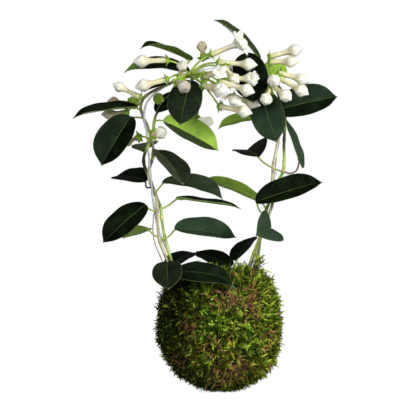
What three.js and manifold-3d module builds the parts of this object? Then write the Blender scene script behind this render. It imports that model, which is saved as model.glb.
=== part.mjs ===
// Kokedama: a waxy-flowered vine that twines up a wire hoop, rooted in a ball of soil wrapped in moss.
// Millimetres, +Z up. +X is to the viewer's right, and the viewer stands at -Y.
// The origin is the middle of the small flat spot that the ball rests on.
import * as THREE from "three";
import { mergeVertices } from "three/addons/utils/BufferGeometryUtils.js";
import Module from "manifold-3d";

const wasm = await Module();
wasm.setup();
const { Manifold, Mesh } = wasm;

// Driving dimensions
const BALL_RADIUS = 60;
const BALL_HALF_HEIGHT = 64.5;
const BALL_CENTRE_Z = 62.5;
const BALL_SQUARENESS_ABOVE = 2.8;
const BALL_SQUARENESS_BELOW = 2.2;
const MOSS_THICKNESS = 12;
const MOSS_RELIEF = 1.5;
const MOUND_HEIGHT = 6;
const MOUND_RADIUS = 18;
const MOUND_X = 36;
const PLANTING_GAP_LENGTH = 50;
const PLANTING_GAP_WIDTH = 20;
const PLANTING_GAP_X = -6;
const WIRE_DIAMETER = 2.2;
const VINE_DIAMETER = 3.2;
const DRY_STEM_DIAMETER = 1.4;
const STALK_DIAMETER = 2.0;
const LEAF_THICKNESS = 0.8;
const LEAF_WIDTH = 34;
const LEAF_FOLD = 10;
const LEAF_LOBE = 0.03;
const BUD_KNOB_RADIUS = 6.1;
const BUD_TUBE_RADIUS = 2.6;
const PEDICEL_DIAMETER = 1.8;
const CLEARANCE = 0.3;

// Facets
const BALL_DETAIL = 6;
const SOIL_DETAIL = 3;
const VINE_SIDES = 5;
const WIRE_SIDES = 6;
const STALK_SIDES = 4;
const BUD_SIDES = 6;
const TUBE_STEP = 12;
const WIRE_STEP = 15;
const STALK_STEP = 8;
const MERGE_DISTANCE = 1e-4;

const UP = new THREE.Vector3(0, 0, 1);
const vec = ([x, y, z]) => new THREE.Vector3(x, y, z);
const radians = (degrees) => THREE.MathUtils.degToRad(degrees);
const clamp01 = (value) => THREE.MathUtils.clamp(value, 0, 1);

// Solids from closed geometries, and back

function solid(geometry) {
  const bare = geometry.clone();
  bare.deleteAttribute("normal");
  bare.deleteAttribute("uv");
  const merged = mergeVertices(bare, MERGE_DISTANCE);
  const corners = merged.index.array;
  const kept = [];
  for (let i = 0; i < corners.length; i += 3) {
    const [a, b, c] = [corners[i], corners[i + 1], corners[i + 2]];
    if (a !== b && b !== c && c !== a) kept.push(a, b, c);
  }
  const vertProperties = new Float32Array(merged.attributes.position.array);
  return new Manifold(new Mesh({ numProp: 3, vertProperties, triVerts: new Uint32Array(kept) }));
}

function geometryOf(body) {
  const { vertProperties, triVerts } = body.getMesh();
  const geometry = new THREE.BufferGeometry();
  geometry.setAttribute("position", new THREE.BufferAttribute(vertProperties, 3));
  geometry.setIndex(new THREE.BufferAttribute(triVerts, 1));
  geometry.computeVertexNormals();
  return geometry;
}

const join = (bodies) => bodies.reduce((whole, body) => whole.add(body));
const cut = (body, tools) => tools.reduce((rest, tool) => rest.subtract(tool), body);

// A tube along a smooth path through the given points. The radius is that of the round that it
// stands for, so its flats touch that round.
function tube(points, diameter, sides, step = TUBE_STEP) {
  const path = new THREE.CatmullRomCurve3(points.map(vec), false, "centripetal");
  const section = new THREE.Shape();
  const radius = diameter / 2 / Math.cos(Math.PI / sides);
  for (let i = 0; i < sides; i++) {
    const angle = (i / sides) * 2 * Math.PI;
    const corner = [radius * Math.cos(angle), radius * Math.sin(angle)];
    if (i === 0) section.moveTo(...corner);
    else section.lineTo(...corner);
  }
  const steps = Math.max(2, Math.round(path.getLength() / step));
  const settings = { steps, bevelEnabled: false, extrudePath: path };
  return solid(new THREE.ExtrudeGeometry(section, settings));
}

// The ball: soil core and moss wrap

// The relief stands for the tufts of the moss.
function tuftHeight(x, y, z) {
  const broad = Math.sin(0.11 * x + 1.1) * Math.sin(0.13 * y + 0.4) * Math.sin(0.12 * z + 2.0);
  const fine = Math.sin(0.31 * x + 0.23 * z) * Math.sin(0.29 * y - 0.21 * z + 1.7);
  return MOSS_RELIEF * (broad + 0.9 * fine);
}

// The moss is heaped up round the right stems.
function moundHeight(x, y, z) {
  const away = Math.hypot(x - MOUND_X, y) / MOUND_RADIUS;
  return z > 0 ? MOUND_HEIGHT * Math.exp(-(away ** 2)) : 0;
}

// A point of the ball's skin in a direction, sunk below the moss by a depth.
function ballPoint(direction, depth, relief) {
  const squareness = direction.z > 0 ? BALL_SQUARENESS_ABOVE : BALL_SQUARENESS_BELOW;
  const across = Math.hypot(direction.x, direction.y) / (BALL_RADIUS - depth);
  const along = Math.abs(direction.z) / (BALL_HALF_HEIGHT - depth);
  let reach = (across ** squareness + along ** squareness) ** (-1 / squareness);
  const point = direction.clone().multiplyScalar(reach);
  if (relief) reach += tuftHeight(...point) + moundHeight(...point);
  point.copy(direction).multiplyScalar(reach);
  point.z += BALL_CENTRE_Z;
  return point;
}

function ball(detail, depth, relief) {
  const geometry = new THREE.IcosahedronGeometry(1, detail);
  const position = geometry.attributes.position;
  const direction = new THREE.Vector3();
  for (let i = 0; i < position.count; i++) {
    direction.fromBufferAttribute(position, i).normalize();
    const point = ballPoint(direction, depth, relief);
    const floor = relief ? 0 : depth;
    position.setXYZ(i, point.x, point.y, Math.max(point.z, floor));
  }
  return solid(geometry);
}

// The gap in the top of the moss, where the soil shows and the low leaves come out.
function plantingGap() {
  const radius = PLANTING_GAP_WIDTH / 2;
  const reach = PLANTING_GAP_LENGTH / 2 - radius;
  const outline = new THREE.Shape();
  outline.absarc(PLANTING_GAP_X + reach, 0, radius, -Math.PI / 2, Math.PI / 2);
  outline.absarc(PLANTING_GAP_X - reach, 0, radius, Math.PI / 2, (3 * Math.PI) / 2);
  const depth = BALL_HALF_HEIGHT * 2;
  const geometry = new THREE.ExtrudeGeometry(outline, { depth, bevelEnabled: false, curveSegments: 5 });
  return solid(geometry.translate(0, 0, BALL_CENTRE_Z));
}

// Stems: the wire hoop and the vines that twine round it

const HOOP = [
  [-30, 0, 68], [-38, 0, 98], [-47, 0, 130], [-60.3, 0, 163], [-65.2, 0, 187], [-68.7, 0, 219],
  [-71.5, 0, 254], [-75, 0, 277], [-71, 0, 291], [-57, 0, 304], [-28, 0, 319], [-4, 0, 324.6],
  [18, 0, 324], [40, 0, 318], [56, 0, 305], [61, 0, 290], [60, 0, 257], [56.6, 0, 218],
  [53, 0, 186], [42, 0, 154], [34, 0, 133], [24, 0, 105], [12, 0, 70],
];

const VINE_LEFT_WOODY = [
  [-32, -4, 84], [-43, -4, 112], [-51, -2.2, 130], [-59.4, -2.4, 152], [-61.2, -3.5, 167],
  [-62, -3.5, 190], [-63.4, 1.4, 199], [-67, 4, 205], [-70.4, 3.8, 216], [-69.4, 4, 225],
  [-67, 3.2, 232], [-65.8, 2.4, 243], [-67.4, 2.8, 253], [-71, 3.8, 264], [-75.4, 3.8, 274],
  [-78.4, 2, 284], [-75.8, 0.6, 293], [-69, -0.6, 299], [-61, -3.2, 303], [-51, -3.6, 307.4],
  [-39, -3.4, 313], [-19, -3.4, 317], [-2, -3.4, 320.5], [13, -3.6, 322],
];

const VINE_LEFT_GREEN = [
  [-26, -9, 84], [-39, -7.4, 112], [-47.6, -4.2, 132], [-53.4, -2.4, 152], [-56.8, -1, 170],
  [-58.4, 1.8, 184], [-61.6, 5, 192], [-65, 7.4, 200], [-68, 8.6, 210], [-71.4, 8, 218],
  [-75, 5, 227], [-75.2, 0.8, 235], [-73, -2.9, 241], [-70, -3.9, 248], [-67.2, -3.9, 255],
  [-65.6, -2.6, 263], [-64.6, -2, 271], [-61.6, 0, 282], [-54, 2.4, 293], [-42, 3.6, 304],
  [-28, 3.8, 312], [-10, 3.8, 318.6], [4, 3.6, 321.4],
];

const VINE_RIGHT_WOODY = [
  [10, -4, 84], [24, -3.6, 112], [32, -3.6, 132], [41, -3.4, 155], [49.6, -3.4, 177],
  [53.2, -3.6, 188], [53.2, -3, 202], [53.4, -2.4, 214], [54, -2.8, 225], [57.4, -3.6, 242],
  [60, -3.6, 257], [60.6, -3.6, 280], [58.8, -3.6, 299], [49, -3.6, 313], [34, -3.6, 320.4], [21, -3.6, 323],
];

const VINE_RIGHT_GREEN = [
  [16, 4, 86], [29, 3.6, 112], [38, 3.6, 132], [41.6, 3.6, 155], [47, 3.5, 180], [52.6, 3.6, 196],
  [58.6, 3.4, 210], [64, 2, 220], [65, 0.5, 232], [65, 0, 248], [65.8, 0, 266], [66.2, 0.4, 284],
  [64, 2.6, 298], [56, 3.8, 310], [42, 3.8, 319], [26, 3.8, 324.4], [12, 3.8, 325],
];

const DRY_STEM = [[-40, 3.6, 92], [-49, 4.6, 112], [-58.6, 5, 135], [-63.4, 4.4, 146], [-66, 3.4, 158]];

// Leaves. A stalk starts on its vine's middle line or in the soil. The face is the way that the
// blade's upper side looks, the fold is how far each half rises from the midrib, in degrees, and
// arch, hook and lobe are parts of the blade's length.
const LEAVES = {
  leaf_left_flat: {
    stalk: [[-77.2, 2.4, 281]], base: [-82.5, -4, 284.5], tip: [-146, -10, 275],
    face: [-0.15, -0.3, 1], fold: 15, arch: 0.03, hook: 0.03,
  },
  leaf_left_broad: {
    stalk: [[-75.4, 3.4, 274], [-81, 0, 274.6]], base: [-88.4, -8, 274], tip: [-116.5, -22, 225.6],
    face: [-0.45, -0.88, 0.12], width: 41, fold: 20, arch: 0.03,
  },
  leaf_crown_left: {
    stalk: [[-38, -3.4, 313.2], [-37, -6, 323]], base: [-29, -7, 331.5], tip: [-76, -38, 346],
    face: [0.3, -0.04, 0.95], width: 30, fold: 18, arch: 0.03, hook: 0.1,
  },
  leaf_crown_back: {
    stalk: [[-26, 3.8, 313], [-27, 8, 318]], base: [-31, 11, 321.6], tip: [-96, 16, 323],
    face: [0, -0.42, 0.9], arch: 0.09, hook: 0.05,
  },
  leaf_young: {
    stalk: [[-56, 1.8, 290.4], [-58.4, 3.6, 296]], base: [-60, 6, 299], tip: [-61.4, 9, 287.6],
    face: [0, 0.9, 0.3], width: 11, fold: 8, arch: 0.03,
  },
  leaf_behind_heart: {
    stalk: [[-64.6, -2, 271], [-63, 2, 276]], base: [-61.4, 6, 280.6], tip: [-22, 38, 303],
    face: [-0.3, -0.6, 0.7], width: 31, fold: 12, arch: 0.04,
  },
  leaf_heart_left: {
    stalk: [[-28, -3.4, 315.6], [-28, -8, 312]], base: [-29.4, -11, 308], tip: [-38.6, -46, 265],
    face: [0.05, -0.7, 0.7], fold: 8, arch: 0.05, lobe: 0.08,
  },
  leaf_pale_middle: {
    stalk: [[-64.6, -2, 271], [-60, -1, 271.6]], base: [-54, 0, 271.5], tip: [0, 4, 242],
    face: [0.27, 0.82, 0.5], width: 32, fold: 30, arch: 0.02, hook: 0.03,
  },
  leaf_drooping_left: {
    stalk: [[-67, 3.2, 232], [-64, -2, 236]], base: [-60, -7, 239.6], tip: [-35.5, -47, 207],
    face: [0.45, -0.6, 0.65], fold: 14, arch: 0.05, lobe: 0.06,
  },
  leaf_middle_left: {
    stalk: [[-63.6, 2, 200], [-60, 1.6, 204]], base: [-55, 0, 210], tip: [4, -22, 196.6],
    face: [0.2, -0.47, 0.84], fold: 18, arch: 0.05, hook: 0.08,
  },
  leaf_back_left: {
    stalk: [[-67, 4, 205], [-72.6, 5, 204.6]], base: [-74, 6, 211], tip: [-106, 47, 217],
    face: [-0.1, -0.5, 0.87], width: 32, fold: 12, arch: 0.04, hook: 0.03,
  },
  leaf_low_left: {
    stalk: [[-61.6, -3.5, 181], [-68, -5.4, 182]], base: [-74, -7, 186.6], tip: [-115, -24, 149.5],
    face: [-0.25, -0.8, 0.5], width: 32, fold: 12, arch: 0.03,
  },
  leaf_low_left_back: {
    stalk: [[-59.6, -2.6, 154], [-65, -1, 157]], base: [-71, 3, 163.5], tip: [-98, 46, 153],
    face: [0, 0.35, 0.9], width: 27, fold: 12, arch: 0.04,
  },
  leaf_edge_on: {
    stalk: [[-58.2, 1.4, 182.5], [-50, 0, 187]], base: [-41.5, -2, 194], tip: [22, -6, 185],
    face: [0.1, -0.1, 1], width: 32, hook: 0.03,
  },
  leaf_low_middle: {
    stalk: [[-59.4, -2.4, 152], [-51, -5.6, 155]], base: [-43, -6, 163.6], tip: [17, -11, 154.5],
    face: [0.1, -0.64, 0.76], width: 32, fold: 24, arch: 0.03,
  },
  leaf_pale_right: {
    stalk: [[47, 3.5, 180], [46, 5, 185]], base: [43, 6, 190.6], tip: [-13.5, 12, 214],
    face: [0.34, 0.38, 0.86], width: 29, arch: 0.03,
  },
  leaf_slim_left: {
    stalk: [[-67, 2.8, 250], [-69.6, 5, 250]], base: [-72, 8, 249.6], tip: [-77, 48, 244],
    face: [-0.2, 0.16, 0.97], width: 28, fold: 6, arch: 0.02, hook: 0.1,
  },
  leaf_topmost: {
    stalk: [[38, 3.8, 320.8], [39.6, 6.6, 328]], base: [41, 9, 335.4], tip: [-3.5, 15, 375],
    face: [0.7, 0.16, 0.7], width: 30, fold: 4, arch: 0.05, hook: 0.04,
  },
  leaf_heart_crown: {
    stalk: [[23, -3.6, 322.8], [25.4, -9, 329]], base: [28, -14, 334.6], tip: [33.6, -38, 287],
    face: [0.02, -0.9, 0.44], width: 36, fold: 7, arch: 0.03, lobe: 0.08,
  },
  leaf_round_pale: {
    stalk: [[57.6, 3.6, 308.4]], base: [58, 9, 311], tip: [54.4, 26, 336],
    face: [0, 0.88, -0.4], width: 25, fold: 6, arch: 0.03,
  },
  leaf_right_broad: {
    stalk: [[60.5, -3.6, 272], [58.6, -7.6, 277]], base: [56.4, -10, 281], tip: [117.6, -18, 294.2],
    face: [0.1, -0.88, 0.46], width: 37, fold: 22, arch: 0.03,
  },
  leaf_right_hanging: {
    stalk: [[47, -3.6, 314.4], [43, -8, 309]], base: [40, -11, 301], tip: [56.5, -28, 248.6],
    face: [-0.1, -0.9, 0.3], arch: 0.03,
  },
  leaf_small_pale: {
    stalk: [[60.1, -3.6, 261], [52, 1, 267]], base: [38, 5, 274.6], tip: [-1, 14, 266],
    face: [0.1, 0.44, 0.87], width: 18, arch: 0.07, hook: 0.08,
  },
  leaf_folded_right: {
    stalk: [[64.2, 2, 221], [70, 1, 218.6], [77, -1, 221]], base: [80.8, -3, 231], tip: [68, 26, 274],
    face: [0.91, -0.4, 0.27], width: 27, lobe: 0.16,
  },
  leaf_notched: {
    stalk: [[64, 2, 220], [61, -6, 221], [54, -9, 223.6], [45, -7, 229]],
    base: [39, -3, 235.4], tip: [29, 54, 243.4],
    face: [-0.27, -0.48, 0.85], width: 40, fold: 8, arch: 0.03,
  },
  leaf_right_low: {
    stalk: [[50.2, -3.4, 178.4], [43, -8, 179], [39, -12, 184]],
    base: [38, -14, 190.5], tip: [102.5, -17, 210.2],
    face: [0.17, -0.72, 0.67], width: 32, fold: 22, arch: 0.02, hook: 0.02,
  },
  leaf_heart_low: {
    stalk: [[47, -3.4, 170], [51, -6, 167]], base: [51, -9, 163.5], tip: [35.6, -56, 157],
    face: [0.78, -0.33, 0.51], width: 40, fold: 28, arch: 0.06, lobe: 0.05,
  },
  leaf_foot_raised: {
    stalk: [[13, -3, 98], [16, -5, 118]], base: [16.4, -6, 132], tip: [36, 26, 155],
    face: [-0.6, -0.62, 0.5], width: 27, fold: 12, arch: 0.03,
  },
  leaf_foot_back: {
    stalk: [[4, 2, 98], [10, 2, 116]], base: [11, 4, 125.6], tip: [-23, 32, 140],
    face: [0.2, -0.5, 0.85], width: 30, fold: 10, arch: 0.01,
  },
  leaf_foot_behind: {
    stalk: [[-37, 6, 98], [-46, 7, 116]], base: [-50, 9, 125], tip: [-26, 50, 139.6],
    face: [-0.1, -0.4, 0.88], width: 26, fold: 10, arch: 0.03, hook: 0.03,
  },
  leaf_on_moss: {
    stalk: [[-38, -10, 98], [-47, -20, 118]], base: [-47, -30, 120], tip: [13, -63, 112.8],
    face: [-0.05, -0.66, 0.75], width: 29, fold: 6, arch: 0.08, hook: 0.13,
  },
  leaf_foot_round: {
    stalk: [[-44, -10, 98], [-52, -14, 119], [-52, -26, 129]],
    base: [-51, -38, 129.4], tip: [-48.8, -82, 105.6],
    face: [-0.14, -0.44, 0.9], width: 30, fold: 8, arch: 0.07, lobe: 0.08,
  },
};

const BLADE_STATIONS = [0, 0.09, 0.28, 0.5, 0.72, 0.9, 1];
const BLADE_STRIPS = [-1, -0.5, 0, 0.5, 1];
const BLADE_LEAST_HALF_WIDTH = 0.6;
const BLADE_ROUNDNESS = 2.3;
const BLADE_FULLNESS = 0.5;
const BLADE_POINTEDNESS = 0.45;
const HOOK_START = 0.78;
const STALK_IN_BLADE = 0.05;

// Half of the blade's width at a place along it: an ellipse, blunt at the foot and pointed at the tip.
function bladeHalfWidth(along, width) {
  const power = BLADE_FULLNESS + BLADE_POINTEDNESS * along ** 2;
  const round = (1 - Math.abs(2 * along - 1) ** BLADE_ROUNDNESS) ** power;
  return Math.max((round * width) / 2, BLADE_LEAST_HALF_WIDTH);
}

function bladeFrame(leaf) {
  const base = vec(leaf.base);
  const axis = vec(leaf.tip).sub(base);
  const length = axis.length();
  axis.normalize();
  const normal = vec(leaf.face).projectOnPlane(axis).normalize();
  const side = new THREE.Vector3().crossVectors(normal, axis);
  return { base, axis, normal, side, length };
}

// A point of the blade: along runs from 0 at the foot to 1 at the tip, across from -1 to 1.
function bladePoint(leaf, frame, along, across) {
  const { width = LEAF_WIDTH, fold = LEAF_FOLD, arch = 0, hook = 0, lobe = LEAF_LOBE } = leaf;
  const { base, axis, normal, side, length } = frame;
  const bulge = 4 * along * (1 - along);
  const droop = clamp01((along - HOOK_START) / (1 - HOOK_START)) ** 2;
  const half = bladeHalfWidth(along, width) * Math.abs(across);
  const point = base.clone();
  point.addScaledVector(axis, length * (along - lobe * across ** 2 * (1 - along) ** 4));
  point.addScaledVector(normal, length * (arch * bulge - hook * droop));
  point.addScaledVector(side, Math.sign(across) * half * Math.cos(radians(fold)));
  point.addScaledVector(normal, half * Math.sin(radians(fold)));
  return point;
}

// A closed blade: two faces split into triangles alike, and a rim between them.
function blade(leaf, frame) {
  const columns = BLADE_STRIPS.length;
  const rows = BLADE_STATIONS.length;
  const points = [];
  for (const face of [0.5, -0.5]) {
    for (const along of BLADE_STATIONS) {
      for (const across of BLADE_STRIPS) {
        const point = bladePoint(leaf, frame, along, across);
        points.push(point.addScaledVector(frame.normal, face * LEAF_THICKNESS));
      }
    }
  }
  const under = rows * columns;
  const triangles = [];
  for (let i = 0; i < rows - 1; i++) {
    for (let j = 0; j < columns - 1; j++) {
      const a = i * columns + j;
      const [b, c, d] = [a + 1, a + columns, a + columns + 1];
      const quad = j < (columns - 1) / 2 ? [a, c, b, b, c, d] : [a, c, d, a, d, b];
      triangles.push(...quad);
      for (let k = 0; k < quad.length; k += 3) {
        triangles.push(quad[k] + under, quad[k + 2] + under, quad[k + 1] + under);
      }
    }
  }
  const rim = [];
  for (let j = 0; j < columns; j++) rim.push(j);
  for (let i = 1; i < rows; i++) rim.push(i * columns + columns - 1);
  for (let j = columns - 2; j >= 0; j--) rim.push((rows - 1) * columns + j);
  for (let i = rows - 2; i > 0; i--) rim.push(i * columns);
  for (let k = 0; k < rim.length; k++) {
    const [a, b] = [rim[k], rim[(k + 1) % rim.length]];
    triangles.push(a, b, a + under, b, b + under, a + under);
  }
  const geometry = new THREE.BufferGeometry().setFromPoints(points);
  geometry.setIndex(triangles);
  return solid(geometry);
}

// The stalk runs on into the blade as the thick start of its midrib.
function leafStalk(leaf, frame, diameter = STALK_DIAMETER) {
  const inside = bladePoint(leaf, frame, STALK_IN_BLADE, 0).toArray();
  return tube([...leaf.stalk, leaf.base, inside], diameter, STALK_SIDES, STALK_STEP);
}

function leafBody(leaf) {
  const frame = bladeFrame(leaf);
  return blade(leaf, frame).add(leafStalk(leaf, frame));
}

// Blooms. Each umbel has a stalk from its vine to its heart, and from there a pedicel to each
// bloom's foot. A bloom runs from its foot to its tip.
const UMBELS = {
  umbel_crown: {
    root: [-33, -3.4, 314.6], heart: [-30, -10, 317.5],
    blooms: [
      { foot: [-50, -15, 331], tip: [-86, -21, 329] },
      { foot: [-50.5, -17, 312], tip: [-84, -21, 303] },
      { foot: [-38, -14, 314], tip: [-36, -37, 328.5] },
      { foot: [-41, -25, 309], tip: [-31.5, -56, 300] },
      { foot: [-15, -4, 333], tip: [-18, 12, 352] },
      { foot: [-9, -12, 336], tip: [18.5, -18, 347], open: true },
      { foot: [-2, -24, 328], tip: [38, -37, 324.6] },
      { foot: [-15, -17, 314], tip: [0, -42, 317], open: true },
      { foot: [4, -31, 324], tip: [19.5, -44, 306] },
      { foot: [6, -34, 311], tip: [40, -46, 311] },
      { foot: [-1, -36, 309], tip: [35, -54, 296.4] },
      { foot: [-17, -20, 306], tip: [12, -44, 297] },
      { foot: [-2, -24, 304], tip: [22, -44, 284] },
      { foot: [-1, -22, 285], tip: [33, -37, 277] },
      { foot: [12, -18, 295], tip: [41, -27, 285] },
    ],
  },
  umbel_right: {
    root: [53, -3.6, 308.6], heart: [52, -9, 313],
    blooms: [
      { foot: [49, -11, 334.4], tip: [84, -15, 343] },
      { foot: [49, -16, 329], tip: [79.6, -21, 329] },
      { foot: [54, -17, 313], tip: [53.6, -50, 307.4] },
      { foot: [58, -13, 318.6], tip: [91, -22, 309] },
      { foot: [59, -18, 313], tip: [88.4, -36, 295.4] },
      { foot: [50, -20, 307], tip: [71, -43, 289.6] },
      { foot: [49, -22, 301], tip: [44.8, -50, 286.6] },
    ],
  },
  umbel_left: {
    root: [-77.6, 0.9, 287.6], heart: [-81.4, 2, 289.6],
    blooms: [
      { foot: [-77.4, -8, 293.6], tip: [-106, -13, 308] },
      { foot: [-89, 9, 288], tip: [-113, 22, 292] },
      { foot: [-84, 9, 290], tip: [-88, 36, 292.5] },
      { foot: [-91, 6, 280], tip: [-119, 12, 278] },
    ],
  },
  umbel_low: {
    root: [-70, -3.9, 248], heart: [-70, -9, 252],
    blooms: [
      { foot: [-66, -12, 257], tip: [-53, -36, 259] },
      { foot: [-78.4, 0, 255.6], tip: [-97, 12, 248] },
    ],
  },
  umbel_back: {
    root: [-18, 3.8, 315.6], heart: [-16, 13, 305],
    blooms: [{ foot: [-25, 26, 277], tip: [-5, 44, 270] }],
  },
};

const CALYX_REACH = 5.2;
const CALYX_WAIST = 2.6;
const CALYX_RISE = 2.6;
const CALYX_WAIST_RISE = 0.6;
const CALYX_BOTTOM = -0.8;
const CALYX_TOP = 2;
const KNOB_LENGTH = 16;
const KNOB_WIDEST = 10;
const KNOB_SHOULDER = 4.5;
const TUBE_FOOT = 2.5;
const TUBE_FOOT_SWELL = 0.4;
const THROAT_DEPTH = 3;
const THROAT_FLARE = 2;
const PETAL_COUNT = 5;
const LOBE_LENGTH = 12;
const LOBE_WIDTH = 10;
const LOBE_THICKNESS = 1.6;
const LOBE_RISE_ANGLE = 14;
const LOBE_SINK = 1.2;
const PEDICEL_BEND = 0.55;
const PEDICEL_RISE = 0.1;
const PEDICEL_SINK = 1.5;
const PEDICEL_STEP = 14;
const UMBEL_KNUCKLE_RADIUS = 2.2;

// Turns a shape that stands on the Y axis so that it points from one place to another.
function aim(geometry, from, direction) {
  const turn = new THREE.Quaternion().setFromUnitVectors(new THREE.Vector3(0, 1, 0), direction);
  return geometry.applyQuaternion(turn).translate(from.x, from.y, from.z);
}

function corollaProfile(length, open) {
  const [knob, throat] = [BUD_KNOB_RADIUS, BUD_TUBE_RADIUS];
  const foot = [[0, 0], [throat + TUBE_FOOT_SWELL, TUBE_FOOT]];
  if (open) {
    const mouth = [throat + THROAT_FLARE, length];
    return [...foot, [throat, length - 2 * TUBE_FOOT], mouth, [0, length - THROAT_DEPTH]];
  }
  const neck = [throat, length - KNOB_LENGTH];
  const shoulder = [knob * 0.85, length - KNOB_SHOULDER];
  return [...foot, neck, [knob, length - KNOB_WIDEST], shoulder, [0, length]];
}

// One of the five lobes of an open bloom, spread from the end of the tube.
function corollaLobe(end, direction, turn) {
  const lobe = new THREE.OctahedronGeometry(1);
  lobe.scale(LOBE_LENGTH / 2, LOBE_THICKNESS / 2, LOBE_WIDTH / 2);
  lobe.translate(LOBE_LENGTH / 2 + BUD_TUBE_RADIUS / 2, 0, 0).rotateZ(radians(LOBE_RISE_ANGLE)).rotateY(turn);
  return solid(aim(lobe, end, direction));
}

// The five sepals, as one star round the foot of the tube.
function calyx(foot, direction) {
  const points = [new THREE.Vector3(0, CALYX_BOTTOM, 0), new THREE.Vector3(0, CALYX_TOP, 0)];
  const count = 2 * PETAL_COUNT;
  for (let i = 0; i < count; i++) {
    const angle = (i / count) * 2 * Math.PI;
    const reach = i % 2 ? CALYX_WAIST : CALYX_REACH;
    const rise = i % 2 ? CALYX_WAIST_RISE : CALYX_RISE;
    points.push(new THREE.Vector3(reach * Math.cos(angle), rise, reach * Math.sin(angle)));
  }
  const triangles = [];
  for (let i = 0; i < count; i++) {
    const [a, b] = [2 + i, 2 + ((i + 1) % count)];
    triangles.push(0, a, b, 1, b, a);
  }
  const geometry = new THREE.BufferGeometry().setFromPoints(points);
  geometry.setIndex(triangles);
  return solid(aim(geometry, foot, direction));
}

function bloom(heart, { foot, tip, open = false }) {
  const start = vec(foot);
  const direction = vec(tip).sub(start);
  const length = direction.length();
  direction.normalize();
  const profile = corollaProfile(length, open).map(([x, y]) => new THREE.Vector2(x, y));
  const corolla = aim(new THREE.LatheGeometry(profile, BUD_SIDES), start, direction);
  const parts = [solid(corolla), calyx(start, direction)];
  for (let i = 0; open && i < PETAL_COUNT; i++) {
    const end = start.clone().addScaledVector(direction, length - LOBE_SINK);
    parts.push(corollaLobe(end, direction, (i / PETAL_COUNT) * 2 * Math.PI));
  }
  const rise = PEDICEL_RISE * heart.distanceTo(start);
  const middle = heart.clone().lerp(start, PEDICEL_BEND).addScaledVector(UP, rise);
  const sunk = start.clone().addScaledVector(direction, PEDICEL_SINK);
  const route = [heart, middle, sunk].map((point) => point.toArray());
  parts.push(tube(route, PEDICEL_DIAMETER, STALK_SIDES, PEDICEL_STEP));
  return join(parts);
}

// The stalk ends in a knuckle that the pedicels spring from.
function umbelBody({ root, heart, blooms }) {
  const centre = vec(heart);
  const stalk = tube([root, heart], STALK_DIAMETER, STALK_SIDES);
  const knuckle = new THREE.OctahedronGeometry(UMBEL_KNUCKLE_RADIUS).translate(...heart);
  return join([stalk, solid(knuckle), ...blooms.map((each) => bloom(centre, each))]);
}

// Materials

const finish = (color, roughness, metalness = 0) => ({ color, roughness, metalness });
const SOIL = finish("#3a2618", 0.95);
const MOSS = finish("#55702a", 0.95);
const WIRE = finish("#dfe6ec", 0.4, 0.3);
const BARK = finish("#b3a888", 0.75);
const GREEN_STEM = finish("#8fae4a", 0.55);
const DRY = finish("#a89c90", 0.85);
const LEAF = finish("#1d3322", 0.4);
const PALE_LEAF = finish("#6f9a3a", 0.5);
const PETAL = finish("#f1efe2", 0.45);

// Assembly

const plant = new THREE.Group();

function place(name, body, look) {
  const material = new THREE.MeshStandardMaterial(look);
  const mesh = new THREE.Mesh(geometryOf(body), material);
  mesh.name = name;
  plant.add(mesh);
}

const STEMS = {
  wire_hoop: { route: HOOP, diameter: WIRE_DIAMETER, sides: WIRE_SIDES, step: WIRE_STEP, look: WIRE },
  vine_left_woody: { route: VINE_LEFT_WOODY, diameter: VINE_DIAMETER, sides: VINE_SIDES, look: BARK },
  vine_left_green: { route: VINE_LEFT_GREEN, diameter: VINE_DIAMETER, sides: VINE_SIDES, look: GREEN_STEM },
  vine_right_woody: { route: VINE_RIGHT_WOODY, diameter: VINE_DIAMETER, sides: VINE_SIDES, look: BARK },
  vine_right_green: { route: VINE_RIGHT_GREEN, diameter: VINE_DIAMETER, sides: VINE_SIDES, look: GREEN_STEM },
  dry_stem: { route: DRY_STEM, diameter: DRY_STEM_DIAMETER, sides: STALK_SIDES, look: DRY },
};

const stemHoles = [];
for (const [name, { route, diameter, sides, step, look }] of Object.entries(STEMS)) {
  place(name, tube(route, diameter, sides, step), look);
  stemHoles.push(tube(route, diameter + 2 * CLEARANCE, sides, step));
}

const PALE_LEAVES = [
  "leaf_young", "leaf_pale_middle", "leaf_pale_right", "leaf_round_pale", "leaf_small_pale",
];
const SOIL_TOP = BALL_CENTRE_Z + BALL_HALF_HEIGHT - MOSS_THICKNESS;
const leafHoles = [];
for (const [name, leaf] of Object.entries(LEAVES)) {
  const body = cut(leafBody(leaf), stemHoles);
  place(name, body, PALE_LEAVES.includes(name) ? PALE_LEAF : LEAF);
  const rooted = leaf.stalk[0][2] < SOIL_TOP;
  if (rooted) leafHoles.push(leafStalk(leaf, bladeFrame(leaf), STALK_DIAMETER + 2 * CLEARANCE));
}

for (const [name, umbel] of Object.entries(UMBELS)) place(name, cut(umbelBody(umbel), stemHoles), PETAL);

const holes = [...stemHoles, ...leafHoles];
place("soil_core", cut(ball(SOIL_DETAIL, MOSS_THICKNESS + CLEARANCE, false), holes), SOIL);
const cavity = ball(SOIL_DETAIL, MOSS_THICKNESS, false);
place("moss_wrap", cut(ball(BALL_DETAIL, 0, true), [cavity, plantingGap(), ...holes]), MOSS);

export default plant;
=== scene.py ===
import math

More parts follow.
